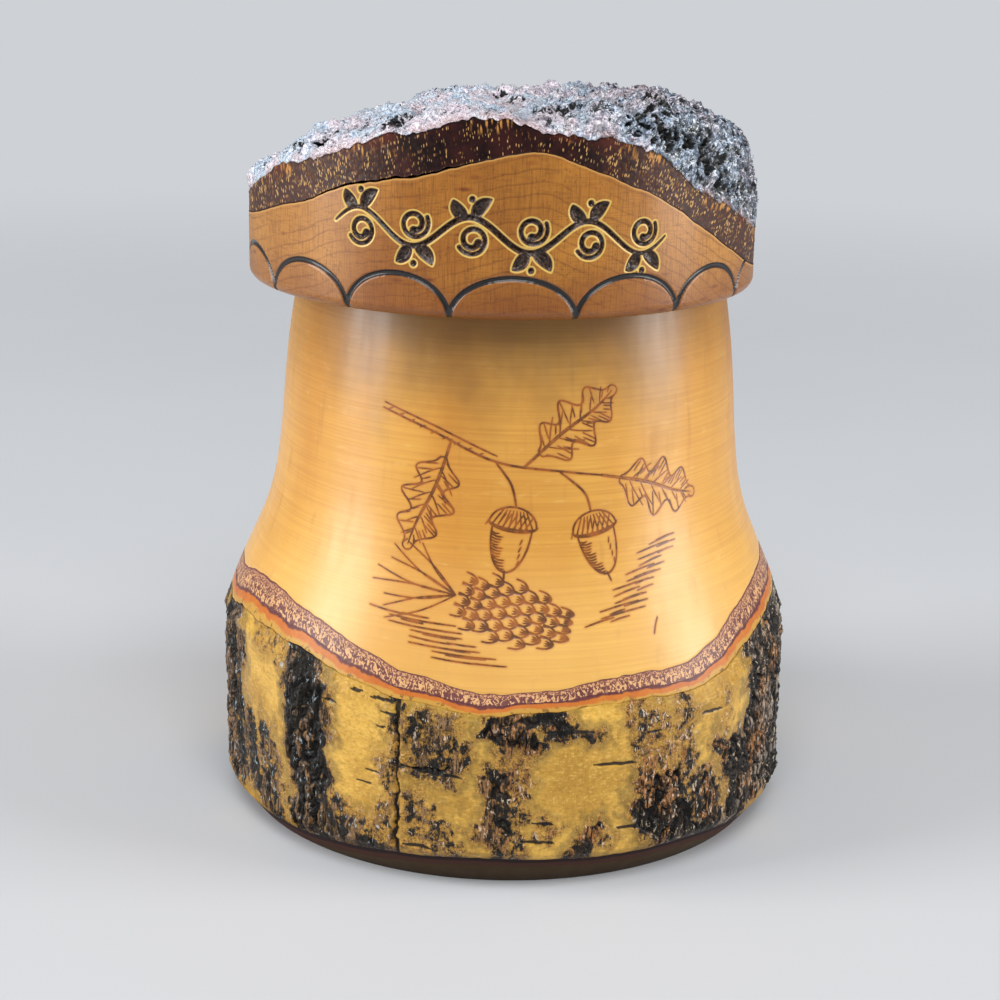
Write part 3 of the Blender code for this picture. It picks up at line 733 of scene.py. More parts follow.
# The outer bark. Each patch of cork: how dark and thick it is as a share, its half width in
# millimetres, and the points of its middle line, as bearing in degrees and height in millimetres
CORK_PATCHES = (
    (1.00, 6.0, ((-90, 36), (-84, 20), (-86, 4))), (1.00, 4.0, ((-73, 36), (-74, 22), (-72, 8))),
    (0.80, 2.6, ((-66, 31), (-68, 20), (-65, 8))), (0.78, 3.0, ((-61, 17), (-58, 11), (-50, 6))),
    (0.70, 2.2, ((-53, 18), (-50, 10), (-48, 7))), (0.44, 1.8, ((-57, 36), (-52, 35.5), (-49, 34))),
    (0.98, 4.0, ((-42, 35), (-41, 28), (-40.5, 20), (-39.5, 12), (-39, 6))),
    (0.86, 2.0, ((-37, 30), (-36.5, 22), (-37, 14))), (0.80, 3.0, ((-37, 9), (-30, 6), (-22, 4))),
    (0.62, 1.6, ((-34, 12), (-28, 9.5), (-21, 7.5))), (0.62, 0.9, ((-19.4, 33), (-19.6, 22), (-19.5, 6))),
    (0.50, 1.2, ((-21, 21), (-20.4, 18), (-21, 8))), (0.74, 2.6, ((-15, 28), (-13, 24), (-13.5, 21.5))),
    (0.72, 1.6, ((-9, 29), (-8.4, 24), (-9, 20.5))), (0.60, 0.7, ((-18, 21), (-12, 20.8), (-7.5, 21.5))),
    (0.58, 2.6, ((-15, 14), (-12, 10), (-10, 7))), (0.55, 0.4, ((-17.5, 8), (-14, 7.4), (-11, 7))),
    (1.00, 2.1, ((-0.6, 29), (2, 28), (4, 27))), (0.95, 1.0, ((3, 30), (7, 30.2), (10.5, 29.8))),
    (0.80, 0.35, ((7, 28.5), (12, 28.1), (17, 27.7))), (0.60, 2.9, ((1.2, 24), (1.2, 16), (0.8, 9), (1, 5))),
    (0.88, 1.3, ((-0.4, 20), (-0.7, 16), (-0.2, 12))), (0.72, 1.6, ((-2.4, 11), (0, 8), (2.4, 6))),
    (0.52, 0.9, ((7.2, 13), (8, 12), (8.2, 11))), (0.86, 1.2, ((16.6, 11.5), (15.5, 8.5), (14, 6))),
    (0.70, 0.7, ((17, 10), (18.6, 8.8), (19.4, 8))), (0.55, 3.2, ((26.5, 29), (28.5, 24), (30, 20))),
    (0.62, 1.4, ((34.5, 31), (35, 24), (35.5, 17))), (0.97, 3.8, ((31, 15), (32.5, 11), (34.5, 7))),
    (0.90, 3.0, ((27.5, 16), (28.5, 12.5), (29.5, 11))), (0.86, 3.0, ((40.5, 14), (42, 9), (43, 5))),
    (0.92, 4.2, ((50, 18), (52.5, 12), (52, 5))), (0.85, 1.6, ((44, 21), (47, 20), (49, 20))),
    (0.42, 1.0, ((45, 30), (46, 26), (44.6, 22.5))), (1.00, 4.6, ((60, 34), (59.5, 24), (60.5, 12))),
    (1.00, 5.5, ((72, 37), (71, 24), (72, 9))), (1.00, 6.0, ((87, 38), (84, 24), (86, 8))),
)
BARK_DEGREE = radians(1) * LOG_RADIUS / MM * 1.05     # millimetres along the bark for a degree of bearing
# Lenticels: middle bearing in degrees, height and half length in millimetres
LENTICELS = (
    (20.5, 21.9, 3.9), (6.6, 9.4, 3.0), (25.0, 10.4, 3.6), (12.0, 28.0, 4.4), (-27.7, 32.1, 1.3), (-33.7, 29.3, 1.6),
    (-22.2, 31.6, 2.4), (-20.4, 29.6, 1.8), (-22.2, 27.1, 1.0), (-24.0, 19.1, 1.6), (-25.6, 16.8, 1.6),
    (-11.5, 20.5, 4.2), (-15.0, 7.6, 2.6), (7.5, 12.6, 1.8), (41.5, 27.5, 2.8), (28.0, 26.5, 1.6),
)
CORK_RELIEF = 0.70 * MM
CUT_ROUGHNESS = 0.35 * MM
CORK_GRIT = 0.16 * MM
FISSURE_DEPTH = 0.6 * MM
PAPER_RELIEF = 0.05 * MM


def cork_cover(bearing, height, spot):
    """How corky the bark is at each spot, from 0 for papery bark to 1, and the soot round it."""
    stray_side = 2.0 * noise(spot / (4.5 * MM), 31) + 1.3 * noise(spot / (1.5 * MM), 32)
    stray_up = 1.8 * noise(spot / (5.0 * MM), 33) + 1.1 * noise(spot / (1.6 * MM), 34)
    across = bearing * BARK_DEGREE + stray_side
    up = height / MM + stray_up
    field = np.zeros(bearing.shape)
    soot = np.zeros(bearing.shape)
    for share, half_width, points in CORK_PATCHES:
        line = through_points(points, 14) * (BARK_DEGREE, 1.0)
        away = np.full(bearing.shape, 9.0)
        for start, end in zip(line[:-1], line[1:]):
            leg = end - start
            along = ((across - start[0]) * leg[0] + (up - start[1]) * leg[1]) / (leg @ leg)
            along = np.clip(along, 0.0, 1.0)
            gone = np.hypot(across - start[0] - along * leg[0], up - start[1] - along * leg[1])
            away = np.minimum(away, gone - half_width)
        field = np.maximum(field, share * smooth(-away, -2.6, 0.9))
        soot = np.maximum(soot, share * smooth(-away, -5.0, 0.0))
    behind = smooth(np.abs(bearing), 86, 97)
    bands = fractal(spot * (1, 1, 0.35) / (11 * MM), 3, 35)
    bands = bands + 0.35 * ridge(bearing / 360, height) / RIDGE_HEIGHT
    field = np.maximum(field, behind * smooth(bands, -0.22, 0.24))
    return field, np.maximum(soot, behind * smooth(bands, -0.45, 0.05))


def outer_bark_relief(turn, height):
    """How far the bark's surface stands out, and the values that its colours follow."""
    turn, height = np.broadcast_arrays(turn, height)
    bearing = (np.mod(turn + 0.5, 1.0) - 0.5) * 360
    spot = at_bearing(LOG_RADIUS, turn, height)
    field, soot = cork_cover(bearing, height, spot)
    cover = smooth(field, 0.42, 0.80)
    heavy = smooth(field, 0.74, 1.0)
    warp = 0.6 * noise(spot / (2.2 * MM), 40)[..., None]
    near, second, own = cells(spot * (1, 1, 0.42) / (1.9 * MM) + warp, 41)
    fissure = 1 - smooth(second - near, 0.02, 0.22)
    strands = noise(spot * (1, 1, 0.13) / (0.60 * MM) + 0.6 * warp, 43)
    flow = noise(spot * (1, 1, 0.25) / (1.7 * MM), 45)
    chips = fractal(spot / (1.3 * MM), 2, 44)
    plates = 0.80 * (own - 0.5) + 0.30 * strands + 0.35 * flow + 0.10 * chips
    stand = heavy * (CORK_RELIEF * plates - FISSURE_DEPTH * fissure)
    stand += cover * CORK_GRIT * (0.2 + chips + 1.2 * strands - 0.9 * fissure)
    wrinkles = noise(spot * (0.16, 0.16, 1) / (0.5 * MM), 46) + 0.6 * noise(spot / (2.5 * MM), 47)
    flaky = smooth(field, 0.12, 0.3) * (1 - smooth(field, 0.6, 0.85))
    curls = noise(spot / (1.1 * MM), 48) + 0.7 * noise(spot / (0.5 * MM), 50)
    stand += (1 - cover) * PAPER_RELIEF * wrinkles + 0.22 * MM * flaky * curls
    dash = np.zeros(turn.shape)
    for middle, up, half in LENTICELS:
        along = (bearing - middle) * BARK_DEGREE
        across = height / MM - up + 0.06 * along + 0.14 * noise(spot / (1.5 * MM), 49)
        width = (0.20 + 0.05 * half) * np.sqrt(np.clip(1 - (along / half) ** 2, 0.0, 1.0)) + 1e-4
        dash = np.maximum(dash, 1 - smooth(np.abs(across) / width, 0.55, 1.15))
    dash *= 1 - smooth(field, 0.8, 0.95)
    stand -= 0.20 * MM * dash
    stray = 0.8 * noise(spot / (2.6 * MM), 51) + 0.35 * noise(spot / (0.9 * MM), 52)
    crack = 1 - smooth(np.abs(bearing + 18.9 + stray), 0.14, 0.46)
    level = np.abs(height / MM - 20.9 - 0.09 * (bearing + 18) + 1.2 * stray)
    reach = smooth(bearing, -19.5, -18.5) * (1 - smooth(bearing, -10.0, -7.5))
    crack = np.maximum(crack, reach * (1 - smooth(level, 0.12, 0.34)))
    stand -= 0.8 * MM * crack
    lift = smooth(bearing, -18.4, -18.0) * (1 - smooth(bearing, -18.0, -15.5))
    stand += 0.40 * MM * lift * smooth(height, 3 * MM, 8 * MM)
    values = {
        "cork": field,
        "fissure": np.maximum(fissure * smooth(field, 0.6, 0.95), np.maximum(crack, dash)),
        "stand": stand / MM,
        "plate": own + 0.35 * flow,
        "soot": soot,
    }
    return stand, values


RIDGE_HEIGHT = 1.4 * MM
RIDGE_SHARES = (
    (0.163, 0.014, 0.60), (0.205, 0.016, 1.00), (0.262, 0.012, 0.70), (0.345, 0.014, 0.85),
    (0.430, 0.016, 0.70), (0.515, 0.012, 0.90), (0.590, 0.016, 0.75), (0.672, 0.013, 1.00),
    (0.748, 0.014, 0.35), (0.802, 0.011, 0.50), (0.893, 0.013, 0.80),
)
RIDGE_WANDER_SHARE = 0.012


def ridge(turn, height):
    """The bark's broad ridges."""
    tallest = np.zeros(np.broadcast(turn, height).shape)
    for index, (place, half_width, share) in enumerate(RIDGE_SHARES):
        stray = RIDGE_WANDER_SHARE * np.sin((height / BODY_HEIGHT + place) * tau + index)
        away = np.abs(np.mod(turn - place - stray + 0.5, 1.0) - 0.5)
        bump = share * np.cos(np.minimum(away / half_width, 1.0) * pi / 2) ** 2
        tallest = np.maximum(tallest, bump)
    return RIDGE_HEIGHT * tallest


PATCH_HEIGHT = 1.1 * MM
PATCH_SHARES = (
    (0.918, 0.07, 0.026, 0.05, 0.75), (0.848, 0.14, 0.018, 0.10, 0.60), (0.146, 0.13, 0.020, 0.12, 0.90),
    (0.006, 0.31, 0.016, 0.04, 0.80), (0.003, 0.15, 0.013, 0.18, 0.60), (0.042, 0.09, 0.010, 0.06, 0.70),
    (0.084, 0.12, 0.022, 0.08, 1.00), (0.117, 0.10, 0.018, 0.09, 0.80),
)
CORK_DEPTH = 1.1 * MM
CORK_LUMP = 6.0 * MM
CORK_STRETCH = 1.8


def cork_patch(turn, height):
    """The patches of cork that stand out of the front, as the model has them."""
    tallest = np.zeros(np.broadcast(turn, height).shape)
    for place, up, half_width, half_height, share in PATCH_SHARES:
        aside = (np.mod(turn - place + 0.5, 1.0) - 0.5) / half_width
        away = np.minimum(np.hypot(aside, (height / BODY_HEIGHT - up) / half_height), 1.0)
        tallest = np.maximum(tallest, share * np.cos(away * pi / 2) ** 2)
    return PATCH_HEIGHT * tallest


def bark_form(turn, height):
    """Ridges and patches of cork with the clefts between their lumps, as the model has them."""
    turn, height = np.broadcast_arrays(turn, height)
    stand = np.maximum(ridge(turn, height), cork_patch(turn, height))
    spots = at_bearing(LOG_RADIUS, turn, height / CORK_STRETCH)
    lumps = [blender_noise.fractal(spot, 1.0, 2.0, 2) for spot in spots.reshape(-1, 3) / CORK_LUMP]
    cleft = np.clip(0.5 - np.array(lumps).reshape(stand.shape), 0.0, 1.0)
    return stand * (1 - CORK_DEPTH / RIDGE_HEIGHT * cleft)


def body_outer_bark():
    turns = graded_turns(0.27, 0.00078, 0.0019)
    column = turns[:, None]
    low = cortex_radius(turns) + LAYER_GAP
    grown = low + OUTER_BARK * through_round(OUTER_BARK_SHARES, turns) * 0.86
    height = between(flare_height(low), foot_height(grown), 96)
    stand, values = outer_bark_relief(column, height)
    natural = grown[:, None] + bark_form(column, height) * (0.35 + 0.65 * smooth(values["cork"], 0.3, 0.7)) + stand
    cut = np.minimum(flare_radius(height), foot_radius(height))
    spot = at_bearing(LOG_RADIUS, column, height)
    gouged = np.abs(fractal(spot * (1, 1, 0.7) / (1.2 * MM), 3, 54))
    roughened = cut - CUT_ROUGHNESS * gouged * smooth(height, 6 * MM, 9 * MM) + np.minimum(0.8 * stand, 0.0)
    values["cut"] = smooth(natural - cut, -0.3 * MM, 0.1 * MM)
    radius = np.minimum(natural, roughened)
    radius = np.maximum(radius, np.minimum(low[:, None] + 0.12 * MM, cut))
    foot_rows = between(radius[:, -1], low, 4)[:, 1:]
    back_height = between(foot_height(low), height[:, 0], 4)[:, 1:-1]
    all_radius, all_height = section(
        (radius, height),
        (foot_rows, np.minimum(foot_height(foot_rows), height[:, -1:])),
        (np.broadcast_to(low[:, None], back_height.shape), back_height),
    )
    points = at_bearing(all_radius, column, all_height)
    least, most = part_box("body_outer_bark")
    points[..., 0] = np.clip(points[..., 0], least.x, most.x)
    points[..., 1] = np.clip(points[..., 1], least.y, most.y)
    spare = all_radius.shape[1] - radius.shape[1]
    filled = {key: np.pad(value, ((0, 0), (0, spare)), mode="edge") for key, value in values.items()}
    piece = skin("body_bark_outer", points, filled, False)
    return install(piece, "box", "body_outer_bark", outer_bark_material())


# The lid's log lies along Y


def lean(y):
    """The fall of the lid's log towards the back."""
    return ARCH_FALL / (2 * LID_RADIUS) * (y + LID_RADIUS)


def across_share(x):
    return (x / LID_RADIUS + 1) / 2


def arch_height(x, y):
    wander = 0.22 * MM * noise(np.stack([x / (3 * MM), y / (40 * MM), x * 0], axis=-1), 61)
    wander += 0.10 * MM * noise(np.stack([x / (1.1 * MM), y / (9 * MM), x * 0], axis=-1), 62)
    return ARCH_HEIGHT * through_open(ARCH_SHARES, across_share(x)) - lean(y) + wander


def inner_arch_height(x, y):
    bumps = 0.55 * MM * noise(np.stack([x / (2.6 * MM), y / (9 * MM), x * 0], axis=-1), 63)
    bumps += 0.45 * MM * noise(np.stack([x / (1.0 * MM), y / (3 * MM), x * 0], axis=-1), 64)
    return arch_height(x, y) + LID_INNER_BARK * through_open(LID_INNER_BARK_SHARES, across_share(x)) + bumps


def bark_crack(x, y):
    """The gap between the lid's wood and its inner bark, open along the left of the front."""
    place = smooth(x, -0.80 * LID_RADIUS, -0.55 * LID_RADIUS) * (1 - smooth(x, -0.25 * LID_RADIUS, 0.0))
    place = place * (1 - smooth(y, -0.5 * LID_RADIUS, 0.0))
    ragged = noise(np.stack([x / (1.3 * MM), y * 0, x * 0], axis=-1), 65)
    return 0.07 * MM + 0.42 * MM * place * (0.7 + 0.6 * ragged)


def crust_lumps(x, y):
    """The crust's broad lumps, as the model has them."""
    x, y = np.broadcast_arrays(x, y)
    spots = np.stack([x, y, x * 0], axis=-1).reshape(-1, 3)
    lumps = [blender_noise.fractal(spot, 1.0, 2.0, 3) for spot in spots / CRUST_LUMP]
    swells = [blender_noise.noise(spot) for spot in (spots + (0, 0, CRUST)) / CRUST_SWELL]
    return CRUST_ROUGHNESS * (np.array(lumps) + np.array(swells)).reshape(x.shape)


CRUST_HOLLOW = 3.4 * MM
CRUST_HOLLOW_REACH = 3.6 * MM
CRUST_HOLLOW_SHARES = (
    (-0.47, -0.80, 0.70), (-0.30, -0.86, 0.45), (0.07, -0.86, 0.55), (0.24, -0.86, 0.60), (0.42, -0.74, 0.65),
    (0.61, -0.72, 1.00), (0.74, -0.60, 0.95), (0.82, -0.44, 0.80), (-0.72, -0.60, 0.40), (0.14, -0.66, 0.55),
    (-0.16, -0.66, 0.50), (0.50, 0.12, 0.90), (-0.28, 0.30, 0.75), (0.18, 0.58, 0.80), (-0.60, 0.44, 0.50),
    (0.00, -0.16, 0.70), (-0.44, -0.22, 0.60), (0.66, 0.50, 0.80), (0.34, -0.36, 0.55), (-0.14, 0.80, 0.60),
)


def crust_hollow(x, y):
    """The crust's hollows, as the model has them."""
    deepest = np.zeros(np.broadcast(x, y).shape)
    for x_share, y_share, share in CRUST_HOLLOW_SHARES:
        away = np.hypot(x - x_share * LID_RADIUS, y - y_share * LID_RADIUS) / CRUST_HOLLOW_REACH
        deepest = np.maximum(deepest, share * np.cos(np.minimum(away, 1.0) * pi / 2) ** 2)
    return CRUST_HOLLOW * deepest


CRUST_SETTLING = 0.8 * MM
CRUST_LEFT_SETTLING = 2.0 * MM


def crust_height(x, y):
    """The height of the crust before its small relief, which stands on a slightly lowered surface."""
    thickness = CRUST * through_open(CRUST_SHARES, across_share(x)) + crust_lumps(x, y) - crust_hollow(x, y)
    thickness -= CRUST_SETTLING + CRUST_LEFT_SETTLING * smooth(-x, 0.50 * LID_RADIUS, 0.95 * LID_RADIUS)
    return inner_arch_height(x, y) + LAYER_GAP + np.maximum(thickness, CRUST_LEAST)


def lid_points(radius, turns, height):
    points = at_bearing(radius, turns, height)
    return points + (LID_CENTRE, 0.0, LID_RIM)


def side_spot(turns):
    """Where a bearing meets the lid's side, from the lid's axis."""
    angle = turns * tau
    return LID_RADIUS * np.sin(angle), -LID_RADIUS * np.cos(angle)


def over_lid(turns, shares, surface):
    """A surface over the lid from its side in to its axis: radius and height arrays."""
    radius = LID_RADIUS * np.broadcast_to(shares, (len(turns), len(shares)))
    angle = (turns * tau)[:, None]
    return radius, surface(radius * np.sin(angle), -radius * np.cos(angle))


CARVE_DEPTH = 0.75 * MM


def lid_wood():
    turns = graded_turns(0.108, 0.00086, 0.0018, 0.27, 0.0014)
    count = len(turns)
    x, y = side_spot(turns)
    under = [(0.0, HOLLOW_CEILING)]
    hollow_centre = (HOLLOW_RADIUS - HOLLOW_CORNER, HOLLOW_CEILING - HOLLOW_CORNER)
    under += arc(hollow_centre, HOLLOW_CORNER, 0.25, 0.0, 5)
    under += [(HOLLOW_RADIUS, -SPIGOT_DEPTH), (SPIGOT_RADIUS, -SPIGOT_DEPTH), (SPIGOT_RADIUS, 0.0)]
    under += arc((LID_RADIUS - RIM_ROUNDING, RIM_ROUNDING), RIM_ROUNDING, -0.25, 0.0, 8)
    height = between(np.full(count, RIM_ROUNDING), arch_height(x, y), 102)[:, 1:]
    across = np.where(turns > 0.5, turns - 1, turns)[:, None] * tau * LID_RADIUS
    shape = (count, len(under) + height.shape[1])
    side_radius = np.full(height.shape, LID_RADIUS)
    all_height = np.concatenate([fixed(turns, under)[1], height], axis=1)
    all_radius = np.concatenate([fixed(turns, under)[0], side_radius], axis=1)
    spread = np.broadcast_to(across, shape)
    outside = all_radius > LID_RADIUS - RIM_ROUNDING * 1.2
    carve = np.where(outside, lid_vine().edge_distance(spread, all_height, 1.2 * MM), 1.2 * MM)
    burn = np.where(outside, lid_scallops().edge_distance(spread, all_height, 1.2 * MM), 1.2 * MM)
    spot = at_bearing(all_radius, turns[:, None], all_height)
    ragged = noise(spot / (0.5 * MM), 71)
    groove = CARVE_DEPTH * smooth(-carve, -0.02 * MM, 0.75 * MM) * (1 + 0.25 * ragged)
    round_share = np.clip(1 - (1 + np.minimum(burn, 0.0) / SCALLOP_HALF) ** 2, 0.0, 1.0)
    groove = np.maximum(groove, SCALLOP_DEPTH * np.sqrt(round_share) * (burn < 0))
    all_radius = all_radius - groove * outside
    inward = np.linspace(1.0, 0.0, 16)[1:]
    top_radius, top_height = over_lid(turns, inward, arch_height)
    radius, height = section((all_radius, all_height), (top_radius, top_height))
    points = lid_points(radius, turns[:, None], height)
    values = {}
    for key, value in (("carve", carve), ("burn", burn)):
        values[key] = np.pad(value, ((0, 0), (0, len(inward))), mode="edge") / MM
    angle = (turns * tau)[:, None]
    arch = arch_height(radius * np.sin(angle), -radius * np.cos(angle))
    values["depth"] = (arch - height) / MM
    piece = skin("turned_lid", points, values, True)
    return install(piece, "lid", "lid_wood", lid_wood_material())


DASH_LEAN = 0.4


def lid_inner_bark():
    turns = graded_turns(0.27, 0.00105, 0.0022)
    x, y = side_spot(turns)
    inward = np.linspace(1.0, 0.0, 20)

    def underside(px, py):
        return arch_height(px, py) + bark_crack(px, py)

    under_radius, under_height = over_lid(turns, inward[::-1], underside)
    top_radius, top_height = over_lid(turns, inward, inner_arch_height)
    side_height = between(under_height[:, -1], top_height[:, 0], 58)[:, 1:-1]
    side_radius = np.full(side_height.shape, LID_RADIUS)
    spot = at_bearing(side_radius, turns[:, None], side_height)
    side_radius = side_radius - 0.10 * MM + 0.07 * MM * fractal(spot * (1, 1, 0.5) / (0.45 * MM), 2, 73)
    radius, height = section((under_radius, under_height), (side_radius, side_height), (top_radius, top_height))
    points = lid_points(radius, turns[:, None], height)
    angle = (turns * tau)[:, None]
    px = radius * np.sin(angle)
    py = -radius * np.cos(angle)
    low = arch_height(px, py)
    thick = inner_arch_height(px, py) - low
    rise = height - low
    step = 3 * MM
    ahead = through_open(ARCH_SHARES, across_share(px + step))
    behind = through_open(ARCH_SHARES, across_share(px - step))
    slope = ARCH_HEIGHT * (ahead - behind) / (2 * step)
    layer = np.stack([px + DASH_LEAN * slope * rise, rise, py], axis=-1) / MM
    piece = skin("lid_bark_inner", points, {"layer": layer, "share": rise / thick}, True)
    return install(piece, "lid", "lid_inner_bark", lid_inner_bark_material())


CRUST_KNOT = 1.0 * MM
CRUST_PIT = 1.2 * MM
CRUST_GRIT = 0.42 * MM
CRUST_CAVE = 1.8 * MM
# Deep hollows in the crust: middle from the lid's axis, height over the rim and half width in millimetres
CRUST_CAVES = (
    (-16.8, -39.2, 29.4, 1.5), (-16.2, -39.8, 28.0, 1.2), (-28.8, -31.8, 25.1, 1.1), (5.3, -41.4, 32.0, 1.3),
    (8.0, -41.0, 32.2, 1.0), (3.0, -42.0, 31.8, 0.9), (12.5, -40.3, 31.2, 1.0), (23.6, -35.8, 28.0, 1.3),
    (25.6, -34.4, 27.6, 1.7), (28.6, -32.0, 26.6, 1.5), (31.4, -29.4, 25.3, 1.2), (30.2, -30.6, 23.6, 0.9),
    (32.4, -28.0, 21.8, 1.1), (34.5, -25.4, 19.9, 1.0), (36.2, -23.2, 18.2, 0.8), (22.0, 6.0, 27.0, 3.0),
    (-12.0, 14.0, 23.0, 2.6), (8.0, 26.0, 25.0, 2.4), (-7.0, -30.0, 31.0, 1.6), (6.0, -28.0, 31.0, 1.8),
)


def crust_relief(spot):
    """The crust's knots, holes, cracks and deep hollows: how far it stands out, and how deep its holes are."""
    warped = spot + 1.4 * MM * noise(spot / (2.6 * MM), 80)[..., None]
    warped = warped + 0.5 * MM * noise(spot / (0.9 * MM), 81)[..., None]
    worn = 0.52 * smooth(spot[..., 0], -0.30 * LID_RADIUS, 0.90 * LID_RADIUS) - 0.14
    cavern = smooth(fractal(spot / (6.5 * MM), 2, 87) + worn, -0.02, 0.42)
    holes = noise(warped / (1.25 * MM), 88) + 0.6 * noise(spot / (0.6 * MM), 91)
    holes = smooth(holes, 0.10, 0.36) * cavern
    cracks = 1 - smooth(np.abs(noise(warped / (2.4 * MM), 85)), 0.0, 0.10)
    cracks = cracks * (0.35 + 0.65 * cavern)
    caves = np.zeros(spot.shape[:-1])
    ragged = 0.85 * noise(spot / (1.2 * MM), 86) + 0.65 * noise(spot / (0.5 * MM), 89)
    for middle_x, middle_y, up, half in CRUST_CAVES:
        away = (warped / MM - (middle_x, middle_y, up)) / (1.3, 1.3, 0.85)
        reach = np.linalg.norm(away, axis=-1) / half + ragged
        caves = np.maximum(caves, 1 - smooth(reach, 0.40, 0.95))
    knots = noise(warped / (5.0 * MM), 82) + 0.8 * noise(spot / (2.4 * MM), 83)
    ledges = smooth(noise(warped / (1.5 * MM), 90), -0.15, 0.20)
    grit = fractal(warped / (0.9 * MM), 2, 84)
    crests = 0.6 - 3.0 * np.abs(noise(warped / (1.9 * MM), 92))
    stand = CRUST_KNOT * knots + CRUST_GRIT * (0.5 * grit + 0.9 * ledges + 0.6 * np.maximum(crests, -0.5))
    stand -= CRUST_PIT * np.maximum(holes, 0.4 * cracks) + CRUST_CAVE * caves
    return stand, np.maximum(np.maximum(holes, 0.7 * cracks), caves)


def lid_crust():
    turns = graded_turns(0.27, 0.00115, 0.0021)
    angle = (turns * tau)[:, None]
    x, y = side_spot(turns)
    edge_radius = (LID_RADIUS - CRUST_CORNER) * np.ones(len(turns))
    edge_x = edge_radius * np.sin(turns * tau)
    edge_y = -edge_radius * np.cos(turns * tau)
    foot = inner_arch_height(x, y) + LAYER_GAP
    edge_top = crust_height(edge_x, edge_y)
    bend = np.linspace(0.0, 1.0, 46)[None, :] * pi / 2
    shoulder_radius = edge_radius[:, None] + CRUST_CORNER * np.cos(bend) ** 0.8
    shoulder_height = foot[:, None] + (edge_top - foot)[:, None] * np.sin(bend) ** 0.9
    shares = np.linspace((LID_RADIUS - CRUST_CORNER) / LID_RADIUS, 0.0, 94)[1:]
    top_radius, top_height = over_lid(turns, shares, crust_height)
    under_shares = np.linspace(0.0, 1.0, 8)[:-1]
    under_radius, under_height = over_lid(
        turns, under_shares, lambda px, py: inner_arch_height(px, py) + LAYER_GAP)
    radius, height = section((shoulder_radius, shoulder_height), (top_radius, top_height))
    px = radius * np.sin(angle)
    py = -radius * np.cos(angle)
    low = inner_arch_height(px, py)
    spot = np.stack([px, py, height], axis=-1)
    outward, pits = crust_relief(spot)
    room = smooth(height - low, 0.4 * MM, 3.0 * MM) * 0.86 + 0.14
    outward = outward * room
    lift = smooth(radius, LID_RADIUS, LID_RADIUS - CRUST_CORNER)
    radius = radius + outward * (1 - lift) * 0.9 - 0.15 * MM * (1 - lift)
    height = height + outward * (0.25 + 0.75 * lift)
    height = np.clip(height, low + 1.5 * LAYER_GAP, crust_ceiling() - LID_RIM)
    values = {"pit": pits * room, "stand": outward / MM, "skirt": (height - low) / MM}
    all_radius, all_height = section((under_radius, under_height), (radius, height))
    points = lid_points(all_radius, turns[:, None], all_height)
    spare = under_radius.shape[1]
    filled = {key: np.pad(value, ((0, 0), (spare, 0)), mode="edge") for key, value in values.items()}
    piece = skin("lid_crust", points, filled, False)
    return install(piece, "lid", "lid_outer_bark", crust_material())


def crust_ceiling():
    """The crust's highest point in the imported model."""
    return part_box("lid_outer_bark")[1].z


# Materials


def srgb(red, green, blue):
    """A colour written as it looks on screen, 0 to 255, made linear."""
    shares = [channel / 255 for channel in (red, green, blue)]
    return [s / 12.92 if s <= 0.04045 else ((s + 0.055) / 1.055) ** 2.4 for s in shares] + [1.0]


